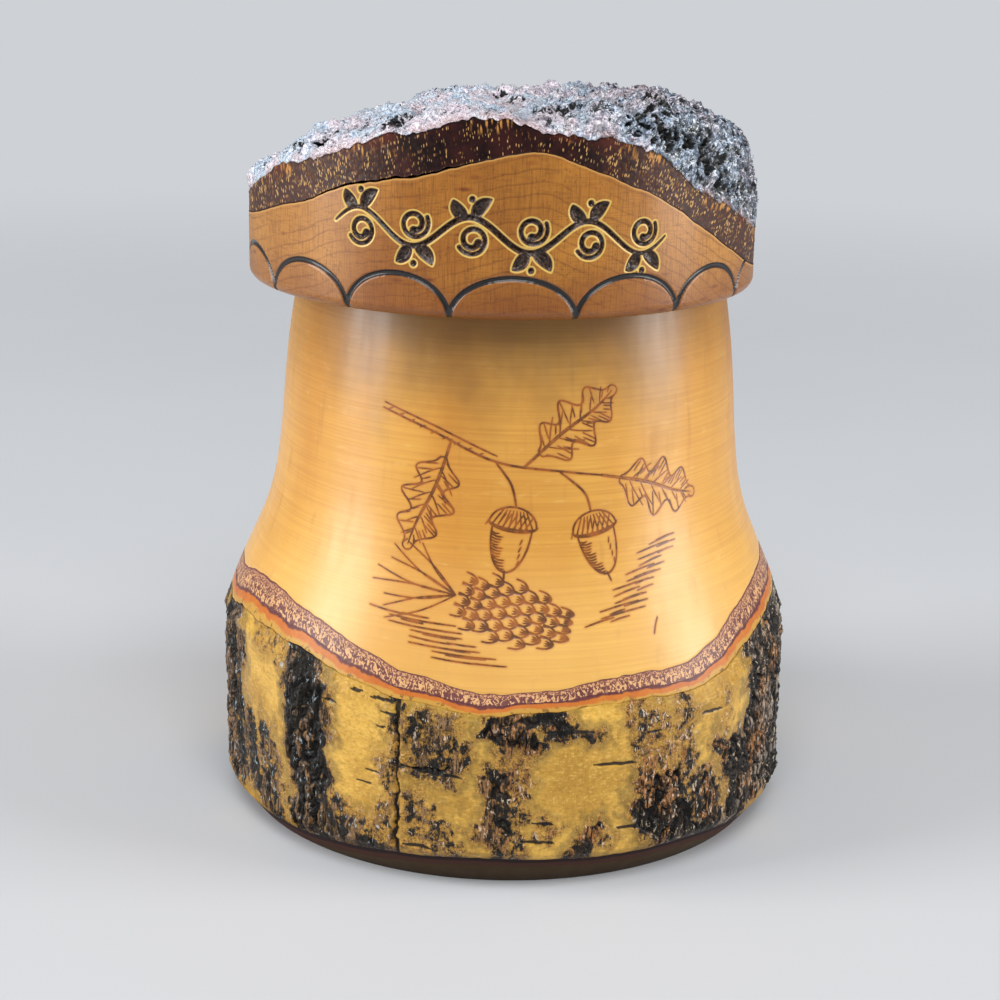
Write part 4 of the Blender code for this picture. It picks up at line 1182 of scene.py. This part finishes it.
class Finish:
    """One node material under construction. Each method adds a node and returns its output."""

    def __init__(self, name, roughness=0.5, coat=0.0, coat_roughness=0.2, specular=0.5):
        self.material = bpy.data.materials.new(name)
        self.material.use_nodes = True
        self.tree = self.material.node_tree
        self.shader = self.tree.nodes["Principled BSDF"]
        self.shader.inputs["Roughness"].default_value = roughness
        self.shader.inputs["Specular IOR Level"].default_value = specular
        self.shader.inputs["Coat Weight"].default_value = coat
        self.shader.inputs["Coat Roughness"].default_value = coat_roughness
        self.place = self.tree.nodes.new("ShaderNodeTexCoord").outputs["Object"]

    def feed(self, socket, value):
        if isinstance(value, bpy.types.NodeSocket):
            self.tree.links.new(value, socket)
        elif isinstance(value, (tuple, list)) and len(value) != len(socket.default_value):
            socket.default_value = [*value, 1.0][:len(socket.default_value)]
        else:
            socket.default_value = value

    def value(self, name):
        """A value that the mesh carries."""
        node = self.tree.nodes.new("ShaderNodeAttribute")
        node.attribute_name = name
        return node.outputs["Fac"]

    def vector(self, name):
        node = self.tree.nodes.new("ShaderNodeAttribute")
        node.attribute_name = name
        return node.outputs["Vector"]

    def axis(self, index, vector=None):
        """One coordinate of a vector, or of the place."""
        node = self.tree.nodes.new("ShaderNodeSeparateXYZ")
        self.feed(node.inputs[0], vector or self.place)
        return node.outputs[index]

    def height(self):
        return self.axis(2)

    def low_line(self, full, none):
        """One below a height, zero above the next, with a ragged edge."""
        ragged = self.math("MULTIPLY_ADD", self.noise(self.place, 400, 2), 0.0012, self.height())
        return self.rise(ragged, none, full)

    def math(self, operation, first, second=0.0, third=0.0):
        node = self.tree.nodes.new("ShaderNodeMath")
        node.operation = operation
        for socket, value in zip(node.inputs, (first, second, third)):
            self.feed(socket, value)
        return node.outputs[0]

    def scaled(self, vector, sides):
        node = self.tree.nodes.new("ShaderNodeVectorMath")
        node.operation = "MULTIPLY"
        self.feed(node.inputs[0], vector)
        self.feed(node.inputs[1], sides)
        return node.outputs[0]

    def noise(self, vector, scale, detail=2.0, roughness=0.5, distortion=0.0):
        node = self.tree.nodes.new("ShaderNodeTexNoise")
        self.feed(node.inputs["Vector"], vector)
        node.inputs["Scale"].default_value = scale
        node.inputs["Detail"].default_value = detail
        node.inputs["Roughness"].default_value = roughness
        node.inputs["Distortion"].default_value = distortion
        return node.outputs["Fac"]

    def cells(self, vector, scale, output="Distance"):
        node = self.tree.nodes.new("ShaderNodeTexVoronoi")
        self.feed(node.inputs["Vector"], vector)
        node.inputs["Scale"].default_value = scale
        return node.outputs[output]

    def rise(self, value, low, high, start=0.0, end=1.0):
        """Smooth rise from start to end as value goes from low to high."""
        node = self.tree.nodes.new("ShaderNodeMapRange")
        node.interpolation_type = "SMOOTHSTEP"
        for socket, given in zip(node.inputs, (value, low, high, start, end)):
            self.feed(socket, given)
        return node.outputs[0]

    def mix(self, share, first, second, blend="MIX"):
        node = self.tree.nodes.new("ShaderNodeMix")
        node.data_type = "RGBA"
        node.blend_type = blend
        self.feed(node.inputs[0], share)
        self.feed(node.inputs[6], first)
        self.feed(node.inputs[7], second)
        return node.outputs[2]

    def bump(self, height, distance, strength=1.0):
        node = self.tree.nodes.new("ShaderNodeBump")
        node.inputs["Strength"].default_value = strength
        node.inputs["Distance"].default_value = distance
        self.feed(node.inputs["Height"], height)
        self.tree.links.new(node.outputs[0], self.shader.inputs["Normal"])

    def done(self, colour, roughness=None):
        self.feed(self.shader.inputs["Base Color"], colour)
        if roughness is not None:
            self.feed(self.shader.inputs["Roughness"], roughness)
        return self.material


def body_wood_material():
    f = Finish("body_wood_varnished", 0.42, 0.32, 0.24, 0.4)
    broad = f.noise(f.scaled(f.place, (1, 1, 0.35)), 42, 3, 0.5)
    colour = f.mix(f.rise(broad, 0.32, 0.68), srgb(208, 142, 52), srgb(228, 170, 76))
    rings = f.noise(f.scaled(f.place, (30, 30, 2600)), 1, 2, 0.6)
    colour = f.mix(f.rise(rings, 0.30, 0.72, 0.0, 0.28), colour, srgb(172, 104, 32))
    streaks = f.noise(f.scaled(f.place, (420, 420, 34)), 1, 3, 0.55)
    colour = f.mix(f.rise(streaks, 0.56, 0.80, 0.0, 0.28), colour, srgb(152, 92, 34))
    pale = f.noise(f.scaled(f.place, (260, 260, 900)), 1, 2, 0.6)
    colour = f.mix(f.rise(pale, 0.60, 0.80, 0.0, 0.22), colour, srgb(244, 202, 120))
    height = f.height()
    # Dark band on the neck under the lid: partly stain, partly painted shadow of the lid. It is strongest at the
    # middle front and back and weaker at the sides, which are painted as lit from the side.
    stain_and_shadow_noise = f.noise(f.scaled(f.place, (90, 90, 60)), 1, 3, 0.6)
    stain_and_shadow_edge = f.math("MULTIPLY_ADD", stain_and_shadow_noise, 0.024, height)
    middle = f.rise(f.math("ABSOLUTE", f.axis(0)), 0.50 * NECK_RADIUS, 0.95 * NECK_RADIUS, 0.72, 0.34)
    stain_and_lid_shadow = f.math("MULTIPLY", f.rise(stain_and_shadow_edge, 0.080, 0.104), middle)
    colour = f.mix(stain_and_lid_shadow, colour, srgb(102, 74, 46))
    # Painted light: the flare is lighter low down, where it faces up towards the top light.
    colour = f.mix(f.rise(height, 0.062, 0.038, 0.0, 0.34), colour, srgb(252, 208, 124))
    line = f.value("burn")
    wobble = f.math("MULTIPLY_ADD", f.noise(f.place, 2600, 2), 0.10, line)
    scorch = f.rise(wobble, 0.42, 0.06, 0.0, 0.42)
    colour = f.mix(scorch, colour, srgb(176, 96, 28))
    tone = f.noise(f.place, 500, 3)
    burnt = f.mix(f.rise(tone, 0.38, 0.60), srgb(78, 34, 10), srgb(150, 80, 26))
    colour = f.mix(f.rise(wobble, 0.13, 0.03, 0.0, 0.90), colour, burnt)
    # Darker wood at the foot, with painted shade: the chamfer by the floor goes near black.
    colour = f.mix(f.rise(height, 0.0088, 0.0062, 0.0, 0.95), colour, srgb(26, 13, 6))
    f.bump(rings, 0.00005, 0.35)
    f.feed(f.shader.inputs["Coat Weight"], f.rise(height, 0.006, 0.012, 0.0, 0.32))
    gloss = f.rise(streaks, 0.3, 0.7, 0.34, 0.46)
    return f.done(colour, f.math("ADD", gloss, f.rise(height, 0.012, 0.006, 0.0, 0.5)))


def inner_bark_material():
    f = Finish("body_inner_bark_grain", 0.45, 0.16, 0.25, 0.35)
    layer = f.vector("layer")
    outward = f.axis(2, layer)
    ground = f.mix(f.noise(f.place, 600, 2), srgb(82, 38, 34), srgb(130, 76, 74))
    fine = f.noise(f.scaled(layer, (2.6, 1.9, 0.2)), 1.2, 2, 0.5, 0.8)
    worms = f.noise(f.scaled(layer, (1.55, 0.75, 0.2)), 1.0, 2, 0.5, 1.5)
    flecks = f.mix(f.rise(outward, 0.25, 0.55), fine, worms)
    cream = f.mix(f.noise(f.place, 1900, 1), srgb(200, 138, 88), srgb(244, 196, 138))
    colour = f.mix(f.rise(flecks, 0.49, 0.55), ground, cream)
    colour = f.mix(f.rise(outward, 0.5, 0.0, 0.0, 0.35), colour, srgb(168, 104, 84))
    edge = f.math("ABSOLUTE", f.math("SUBTRACT", outward, 0.5))
    ragged = f.math("MULTIPLY_ADD", f.noise(f.place, 500, 2), 0.10, edge)
    colour = f.mix(f.rise(ragged, 0.44, 0.53, 0.0, 0.9), colour, srgb(92, 44, 50))
    # Painted shade: darker brown low on the chamfer, like the shaded wood of the foot.
    colour = f.mix(f.low_line(0.010, 0.014), colour, srgb(66, 34, 22))
    f.bump(flecks, 0.00012, 0.45)
    f.feed(f.shader.inputs["Coat Weight"], f.rise(f.height(), 0.008, 0.016, 0.0, 0.16))
    return f.done(colour, f.rise(f.height(), 0.008, 0.016, 0.9, 0.45))


def cortex_material():
    f = Finish("body_cortex_orange", 0.45, 0.12, 0.22, 0.3)
    drift = f.math("SUBTRACT", f.noise(f.place, 190, 4, 0.65), 0.5)
    outward = f.math("MULTIPLY_ADD", drift, 1.5, f.axis(2, f.vector("layer")))
    colour = f.mix(f.noise(f.place, 420, 3), srgb(176, 82, 26), srgb(212, 128, 44))
    yellow = f.mix(f.noise(f.place, 300, 3), srgb(180, 134, 52), srgb(208, 160, 70))
    colour = f.mix(f.rise(outward, 0.54, 0.78, 0.0, 0.95), colour, yellow)
    colour = f.mix(f.rise(outward, 0.20, 0.02, 0.0, 0.9), colour, srgb(88, 40, 50))
    grime = f.math("MULTIPLY", f.rise(f.noise(f.place, 900, 3), 0.56, 0.66), f.rise(outward, 0.4, 0.9))
    colour = f.mix(f.math("MULTIPLY", grime, 0.7), colour, srgb(96, 60, 26))
    colour = f.mix(f.low_line(0.010, 0.014), colour, srgb(34, 15, 18))
    f.bump(f.noise(f.place, 1100, 3), 0.00014, 0.6)
    f.feed(f.shader.inputs["Coat Weight"], f.rise(f.height(), 0.008, 0.016, 0.0, 0.12))
    return f.done(colour, f.rise(f.height(), 0.008, 0.016, 0.9, 0.45))


def outer_bark_material():
    f = Finish("body_bark_papery", 0.44, 0.3, 0.11, 0.18)
    broad = f.noise(f.scaled(f.place, (1, 1, 1.5)), 75, 4, 0.6)
    paper = f.mix(f.rise(broad, 0.34, 0.66), srgb(184, 138, 52), srgb(224, 176, 78))
    lines = f.noise(f.scaled(f.place, (110, 110, 1500)), 1, 3, 0.65)
    paper = f.mix(f.rise(lines, 0.52, 0.80, 0.0, 0.32), paper, srgb(146, 110, 44))
    light = f.noise(f.scaled(f.place, (200, 200, 800)), 1, 2, 0.6)
    paper = f.mix(f.rise(light, 0.58, 0.80, 0.0, 0.30), paper, srgb(238, 200, 108))
    specks = f.noise(f.scaled(f.place, (0.6, 0.6, 1)), 2300, 3, 0.6)
    paper = f.mix(f.rise(specks, 0.52, 0.68, 0.0, 0.40), paper, srgb(138, 102, 40))
    paper = f.mix(f.rise(specks, 0.46, 0.34, 0.0, 0.35), paper, srgb(244, 206, 116))
    smoke = f.noise(f.place, 170, 4, 0.65)
    paper = f.mix(f.rise(smoke, 0.56, 0.76, 0.0, 0.40), paper, srgb(120, 100, 46))
    cork = f.value("cork")
    grain = f.noise(f.place, 2900, 4, 0.72)
    clumps = f.noise(f.place, 680, 4, 0.62)
    strands = f.noise(f.scaled(f.place, (2500, 2500, 330)), 1, 3, 0.65)
    sooty = f.math("MULTIPLY_ADD", clumps, 1.1, f.value("soot"))
    paper = f.mix(f.rise(sooty, 0.72, 1.34, 0.0, 0.66), paper, srgb(98, 82, 42))
    both = f.math("MULTIPLY_ADD", grain, 1.0, f.math("MULTIPLY", clumps, 1.6))
    both = f.math("MULTIPLY_ADD", strands, 0.7, both)
    cover = f.math("ADD", cork, f.math("SUBTRACT", both, 1.68))
    brown = f.mix(f.rise(grain, 0.40, 0.56), srgb(88, 60, 22), srgb(196, 146, 66))
    colour = f.mix(f.rise(cover, 0.24, 0.37, 0.0, 0.90), paper, brown)
    dark = f.mix(f.rise(grain, 0.44, 0.66), srgb(5, 5, 5), srgb(52, 42, 30))
    plate = f.rise(f.value("plate"), 0.40, 0.60)
    greyer = f.rise(f.math("MULTIPLY_ADD", f.axis(0), 12.0, f.noise(f.place, 95, 2)), 0.86, 1.14)
    tan = f.mix(f.rise(f.axis(0), -0.012, 0.012), srgb(142, 108, 72), srgb(172, 116, 62))
    tan = f.mix(greyer, tan, srgb(152, 142, 128))
    tan = f.mix(f.rise(strands, 0.44, 0.58), srgb(34, 24, 15), tan)
    dark = f.mix(f.math("MULTIPLY", plate, f.rise(clumps, 0.36, 0.50)), dark, tan)
    colour = f.mix(f.rise(cover, 0.52, 0.62), colour, dark)
    stand = f.value("stand")
    # Painted highlight: silvery streaks on the tops of the heaviest cork.
    silver_highlight = f.math("MULTIPLY", f.rise(strands, 0.56, 0.64), f.rise(cork, 0.90, 1.0))
    silver_highlight = f.math("MULTIPLY", silver_highlight, f.rise(stand, -0.1, 0.3))
    silver_highlight = f.math("MULTIPLY", silver_highlight, f.rise(f.noise(f.place, 160, 2), 0.44, 0.60))
    colour = f.mix(f.math("MULTIPLY", silver_highlight, 0.8), colour, srgb(172, 176, 180))
    # Painted highlights: small glints on the cork, bluish on the left and cream on the right.
    sparks = f.noise(f.scaled(f.place, (1, 1, 0.45)), 1600, 3, 0.6, 0.6)
    sparks = f.math("MULTIPLY_ADD", f.rise(f.axis(0), 0.005, 0.030), 0.03, sparks)
    glint = f.math("MULTIPLY", f.rise(sparks, 0.60, 0.66), f.rise(clumps, 0.44, 0.54))
    glint = f.math("MULTIPLY", glint, f.rise(cork, 0.25, 0.5, 0.0, 0.85))
    bright = f.mix(f.rise(f.axis(0), -0.024, -0.012), srgb(176, 190, 196), srgb(220, 196, 168))
    colour = f.mix(glint, colour, bright)
    colour = f.mix(f.rise(f.value("fissure"), 0.25, 0.80, 0.0, 0.94), colour, srgb(11, 8, 6))
    colour = f.mix(f.low_line(0.0024, 0.0034), colour, srgb(26, 13, 16))
    relief = f.math("ADD", f.math("MULTIPLY", grain, 0.5), f.math("ADD", clumps, f.math("MULTIPLY", strands, 0.9)))
    f.bump(f.math("MULTIPLY", relief, f.rise(cork, 0.2, 0.7, 0.4, 1.0)), 0.00046, 0.62)
    coat = f.math("MULTIPLY", f.rise(cork, 0.4, 0.9, 0.34, 0.10), f.rise(f.height(), 0.004, 0.008))
    f.feed(f.shader.inputs["Coat Weight"], f.math("MULTIPLY", coat, f.rise(f.value("cut"), 0.9, 0.3, 0.25, 1.0)))
    rough = f.math("ADD", f.rise(cork, 0.2, 0.8, 0.42, 0.30), f.rise(f.height(), 0.007, 0.003, 0.0, 0.5))
    return f.done(colour, rough)


def lid_wood_material():
    f = Finish("lid_wood_varnished", 0.42, 0.30, 0.17, 0.4)
    broad = f.noise(f.place, 60, 3, 0.5)
    colour = f.mix(f.rise(broad, 0.32, 0.68), srgb(154, 92, 26), srgb(190, 126, 44))
    # Painted light: the lid's wood is lighter at its left and right sides, as if lit from the sides.
    sides = f.rise(f.math("ABSOLUTE", f.axis(0)), 0.4 * LID_RADIUS, 0.9 * LID_RADIUS, 0.0, 0.40)
    colour = f.mix(sides, colour, srgb(214, 156, 84))
    depth = f.value("depth")
    drift = f.math("MULTIPLY_ADD", f.noise(f.place, 110, 3), 2.2, depth)
    ring = f.math("FRACT", f.math("DIVIDE", drift, 1.9))
    ring_line = f.math("MULTIPLY", f.rise(ring, 0.74, 0.95), f.rise(ring, 1.0, 0.96))
    faded = f.rise(f.noise(f.place, 80, 2), 0.38, 0.60, 0.08, 0.46)
    colour = f.mix(f.math("MULTIPLY", ring_line, faded), colour, srgb(104, 54, 18))
    rays = f.noise(f.scaled(f.place, (5200, 5200, 210)), 1, 2, 0.6)
    colour = f.mix(f.rise(rays, 0.44, 0.72, 0.0, 0.50), colour, srgb(104, 57, 16))
    cross = f.noise(f.scaled(f.place, (300, 300, 5200)), 1, 2, 0.6)
    colour = f.mix(f.rise(cross, 0.46, 0.74, 0.0, 0.36), colour, srgb(108, 58, 18))
    pores = f.noise(f.scaled(f.place, (1, 1, 0.5)), 2600, 2, 0.6)
    colour = f.mix(f.rise(pores, 0.58, 0.70, 0.0, 0.45), colour, srgb(96, 52, 18))
    lower = f.math("MULTIPLY_ADD", f.noise(f.place, 70, 2), 0.010, f.height())
    colour = f.mix(f.rise(lower, LID_RIM + 0.014, LID_RIM + 0.006, 0.0, 0.48), colour, srgb(114, 54, 16))
    spots = f.cells(f.scaled(f.place, (1, 1, 3.2)), 150)
    fleck = f.math("MULTIPLY", f.rise(spots, 0.24, 0.06), f.rise(f.noise(f.place, 70, 1), 0.42, 0.56))
    colour = f.mix(f.math("MULTIPLY", fleck, 0.75), colour, srgb(100, 34, 12))
    colour = f.mix(f.rise(depth, 0.40, 0.05, 0.0, 0.75), colour, srgb(216, 162, 90))
    carve = f.value("carve")
    edge = f.math("MULTIPLY", f.rise(carve, 0.25, 0.12), f.rise(carve, -0.14, 0.0))
    colour = f.mix(f.math("MULTIPLY", edge, 0.9), colour, srgb(226, 190, 98))
    grit = f.noise(f.place, 2200, 3, 0.6)
    carved = f.mix(f.rise(grit, 0.42, 0.66), srgb(26, 16, 13), srgb(98, 68, 48))
    colour = f.mix(f.rise(carve, -0.05, -0.16), colour, carved)
    burn = f.value("burn")
    colour = f.mix(f.rise(burn, 0.22, 0.0, 0.0, 0.45), colour, srgb(98, 46, 18))
    colour = f.mix(f.rise(burn, 0.05, -0.06), colour, f.mix(grit, srgb(9, 6, 8), srgb(28, 20, 22)))
    f.bump(rays, 0.00004, 0.4)
    f.feed(f.shader.inputs["Coat Weight"], f.rise(burn, 0.0, 0.1, 0.65, 0.30))
    return f.done(colour, f.rise(burn, 0.0, 0.1, 0.62, 0.42))


# Layers of dashes in the lid's inner bark: cells to a millimetre across and along, reach, how many
# are left out as a share, and where they set in as shares of the way up
LID_DASHES = (
    (4.4, 1.20, 0.42, 0.12, 0.0, 0.06),
    (3.2, 0.60, 0.36, 0.30, 0.10, 0.45),
)


def lid_inner_bark_material():
    f = Finish("lid_inner_bark_dashes", 0.5, 0.06, 0.25, 0.15)
    layer = f.vector("layer")
    share = f.value("share")
    ground = f.mix(f.rise(f.noise(f.place, 260, 4, 0.6), 0.35, 0.65), srgb(20, 6, 6), srgb(54, 22, 20))
    nudge = f.math("MULTIPLY", f.noise(f.place, 300, 1), 0.7)
    aside = f.rise(f.math("ABSOLUTE", f.axis(0, layer)), 8, 30)
    colour = f.mix(f.math("MULTIPLY", aside, 0.45), ground, srgb(104, 78, 70))
    tan = f.mix(f.rise(f.noise(f.place, 500, 2), 0.4, 0.6), srgb(112, 72, 40), srgb(204, 160, 100))
    for across, along, reach, keep, low, high in LID_DASHES:
        spots = f.scaled(layer, (across, along, 0.3))
        moved = f.tree.nodes.new("ShaderNodeVectorMath")
        moved.operation = "ADD"
        f.feed(moved.inputs[0], spots)
        f.feed(moved.inputs[1], nudge)
        distance = f.cells(moved.outputs[0], 1.0)
        lively = f.cells(moved.outputs[0], 1.0, "Color")
        sparse = f.math("MULTIPLY_ADD", aside, -0.44, keep + 0.44)
        lively = f.rise(f.math("SUBTRACT", lively, sparse), 0.0, 0.12)
        dash = f.math("MULTIPLY", f.rise(distance, reach, reach * 0.6), lively)
        dash = f.math("MULTIPLY", dash, f.rise(share, low, high))
        colour = f.mix(dash, colour, tan)
    clusters = f.rise(f.noise(f.place, 140, 2), 0.50, 0.58)
    bright = f.cells(f.scaled(layer, (1.9, 0.30, 0.3)), 1.0)
    bright = f.math("MULTIPLY", f.rise(bright, 0.44, 0.22), f.rise(share, 0.60, 0.85))
    colour = f.mix(f.math("MULTIPLY", bright, clusters), colour, srgb(204, 142, 72))
    warm = f.math("MULTIPLY", f.rise(share, 0.62, 0.98), f.rise(f.noise(f.place, 90, 3), 0.50, 0.60))
    colour = f.mix(f.math("MULTIPLY", warm, 0.45), colour, srgb(104, 42, 26))
    colour = f.mix(f.rise(share, 0.08, 0.02, 0.0, 0.7), colour, srgb(44, 20, 18))
    f.bump(f.noise(f.place, 900, 3), 0.00016, 0.5)
    return f.done(colour)


def crust_material():
    f = Finish("lid_crust_silvery", 0.36, 0.5, 0.14, 0.4)
    # Rises towards the right, where the crust is more worn. With it the crust is also painted as shaded on the right
    # and lit on the left: a darker tone, fewer white flakes, more dark crumbs and gaps, and more dark spots.
    worn = f.rise(f.axis(0), -0.3 * LID_RADIUS, 0.9 * LID_RADIUS)
    tint = f.noise(f.place, 130, 3, 0.6)
    pale = f.mix(f.rise(tint, 0.40, 0.60), srgb(176, 200, 220), srgb(222, 206, 218))
    pale = f.mix(f.math("MULTIPLY", worn, 0.74), pale, srgb(90, 112, 136))
    pale = f.mix(f.rise(f.noise(f.place, 85, 3), 0.54, 0.64, 0.0, 0.65), pale, srgb(196, 150, 148))
    calm = f.rise(f.noise(f.place, 170, 2), 0.48, 0.56)
    rough = f.math("MULTIPLY_ADD", calm, -0.8, 1.0)
    fold = f.math("ABSOLUTE", f.math("SUBTRACT", f.noise(f.place, 760, 2, 0.5, 1.2), 0.5))
    fold = f.rise(fold, 0.0, 0.05)
    flakes = f.noise(f.place, 1900, 4, 0.7)
    fine = f.noise(f.place, 3600, 3, 0.7)
    crumbly = f.math("MULTIPLY", f.math("MULTIPLY_ADD", worn, 0.75, 0.25), rough)
    lit = f.math("MULTIPLY_ADD", worn, -0.045, flakes)
    white = f.math("MULTIPLY", f.rise(lit, 0.43, 0.49), f.math("MULTIPLY_ADD", worn, -0.12, 1.0))
    pale = f.mix(white, pale, srgb(250, 251, 254))
    pale = f.mix(f.math("MULTIPLY", f.rise(fold, 0.45, 0.0), 0.5), pale, srgb(88, 98, 120))
    shards = f.noise(f.place, 850, 4, 0.60, 0.9)
    gaps = f.rise(f.math("MULTIPLY_ADD", worn, 0.04, shards), 0.52, 0.56)
    pale = f.mix(f.math("MULTIPLY", gaps, f.math("MULTIPLY_ADD", worn, 0.68, 0.14)), pale, srgb(36, 48, 60))
    blush = f.mix(f.rise(tint, 0.42, 0.56), srgb(202, 228, 255), srgb(253, 228, 240))
    pale = f.mix(0.44, pale, blush, "MULTIPLY")
    pale = f.mix(f.math("MULTIPLY", f.rise(flakes, 0.46, 0.38), crumbly), pale, srgb(84, 96, 110))
    pale = f.mix(f.math("MULTIPLY", f.rise(fine, 0.44, 0.36), crumbly), pale, srgb(58, 68, 80))
    grit = f.noise(f.place, 800, 5, 0.78)
    pit = f.value("pit")
    stand = f.value("stand")
    # Painted shade: darker where the crust stands lower, in its pits and towards the right.
    darkness = f.math("MULTIPLY_ADD", stand, -0.14, grit)
    darkness = f.math("MULTIPLY_ADD", pit, 0.16, darkness)
    darkness = f.math("MULTIPLY_ADD", worn, 0.072, f.math("SUBTRACT", darkness, 0.030))
    colour = f.mix(f.rise(darkness, 0.55, 0.61, 0.0, 0.85), pale, srgb(56, 66, 76))
    colour = f.mix(f.rise(darkness, 0.60, 0.65), colour, srgb(8, 12, 14))
    # Painted shade: the holes go dark teal and then black.
    hole = f.math("MULTIPLY_ADD", flakes, 1.4, pit)
    colour = f.mix(f.rise(hole, 0.90, 0.98, 0.0, 0.85), colour, srgb(40, 54, 62))
    colour = f.mix(f.rise(hole, 0.96, 1.05), colour, srgb(3, 4, 6))
    # Painted highlights: tiny white sparkles away from the holes.
    spark = f.math("MULTIPLY", f.rise(f.noise(f.place, 2300, 2, 0.6), 0.58, 0.63), f.rise(hole, 1.00, 0.90))
    spark = f.math("MULTIPLY", spark, f.rise(f.noise(f.place, 300, 2), 0.42, 0.52))
    colour = f.mix(spark, colour, srgb(250, 253, 255))
    lower = f.math("MULTIPLY", f.rise(f.value("skirt"), 1.6, 0.3), f.rise(tint, 0.44, 0.6))
    colour = f.mix(f.math("MULTIPLY", lower, 0.40), colour, srgb(196, 150, 140))
    relief = f.math("MULTIPLY", f.math("MULTIPLY_ADD", flakes, 0.5, grit), rough)
    relief = f.math("MULTIPLY_ADD", gaps, -0.35, relief)
    f.bump(f.math("MULTIPLY_ADD", fold, 0.35, relief), 0.00048, 0.75)
    return f.done(colour)


# Floor, light and camera


def floor():
    """A plain pale floor that thins out into the pale background."""
    half = 3.0
    mesh = bpy.data.meshes.new("floor")
    mesh.from_pydata([(-half, -half, 0), (half, -half, 0), (half, half, 0), (-half, half, 0)], [], [(0, 1, 2, 3)])
    item = bpy.data.objects.new("floor", mesh)
    bpy.context.scene.collection.objects.link(item)
    f = Finish("floor_pale", 0.75)
    mesh.materials.append(f.done(f.mix(f.noise(f.place, 9, 2), srgb(204, 207, 211), srgb(212, 214, 217))))
    away = f.tree.nodes.new("ShaderNodeVectorMath")
    away.operation = "LENGTH"
    f.feed(away.inputs[0], f.place)
    f.feed(f.shader.inputs["Alpha"], f.rise(away.outputs["Value"], 0.25, 0.85, 1.0, 0.0))


def lamp(name, place, target, size, watts, colour=(1.0, 1.0, 1.0)):
    light = bpy.data.lights.new(name, "AREA")
    light.shape = "RECTANGLE"
    light.size, light.size_y = size
    light.energy = watts
    light.color = colour
    item = bpy.data.objects.new(name, light)
    item.location = place
    item.rotation_euler = (Vector(target) - Vector(place)).to_track_quat("-Z", "Y").to_euler()
    bpy.context.scene.collection.objects.link(item)


def studio():
    world = bpy.data.worlds.new("studio")
    bpy.context.scene.world = world
    world.use_nodes = True
    tree = world.node_tree
    background = tree.nodes["Background"]
    background.inputs["Color"].default_value = srgb(206, 209, 213)
    rays = tree.nodes.new("ShaderNodeLightPath")
    strength = tree.nodes.new("ShaderNodeMapRange")
    tree.links.new(rays.outputs["Is Camera Ray"], strength.inputs[0])
    strength.inputs[3].default_value = 0.34
    strength.inputs[4].default_value = 1.0
    tree.links.new(strength.outputs[0], background.inputs["Strength"])
    middle = (0.0, 0.0, 0.07)
    lamp("left_softbox", (-1.49, -0.34, 0.53), middle, (0.72, 1.32), 22.6)
    lamp("right_softbox", (1.49, -0.24, 0.45), middle, (0.72, 1.20), 18.4)
    lamp("top_softbox", (0.07, -1.01, 1.49), middle, (1.20, 0.96), 19.0)


CAMERA_PLACE = (-0.00117, -0.34653, 0.15207)
CAMERA_PITCH = 0.28304
CAMERA_ROLL = 0.02165
CAMERA_FOCAL_PIXELS = 2019.6
PHOTO_PIXELS = 1000
SENSOR = 36.0


def camera():
    ahead = Vector((0.0, cos(CAMERA_PITCH), -sin(CAMERA_PITCH)))
    right = Vector((1.0, 0.0, 0.0))
    up = right.cross(ahead)
    rolled = cos(CAMERA_ROLL) * right + sin(CAMERA_ROLL) * up
    upright = cos(CAMERA_ROLL) * up - sin(CAMERA_ROLL) * right
    lens = bpy.data.cameras.new("camera")
    lens.sensor_width = SENSOR
    lens.lens = CAMERA_FOCAL_PIXELS / PHOTO_PIXELS * SENSOR
    item = bpy.data.objects.new("camera", lens)
    bpy.context.scene.collection.objects.link(item)
    placing = Matrix((rolled, upright, -ahead)).transposed().to_4x4()
    placing.translation = Vector(CAMERA_PLACE)
    item.matrix_world = placing
    bpy.context.scene.camera = item


bpy.context.scene.view_settings.view_transform = "Standard"
camera()
studio()
floor()
body_wood()
body_inner_bark()
body_cortex()
body_outer_bark()
lid_wood()
lid_inner_bark()
lid_crust()
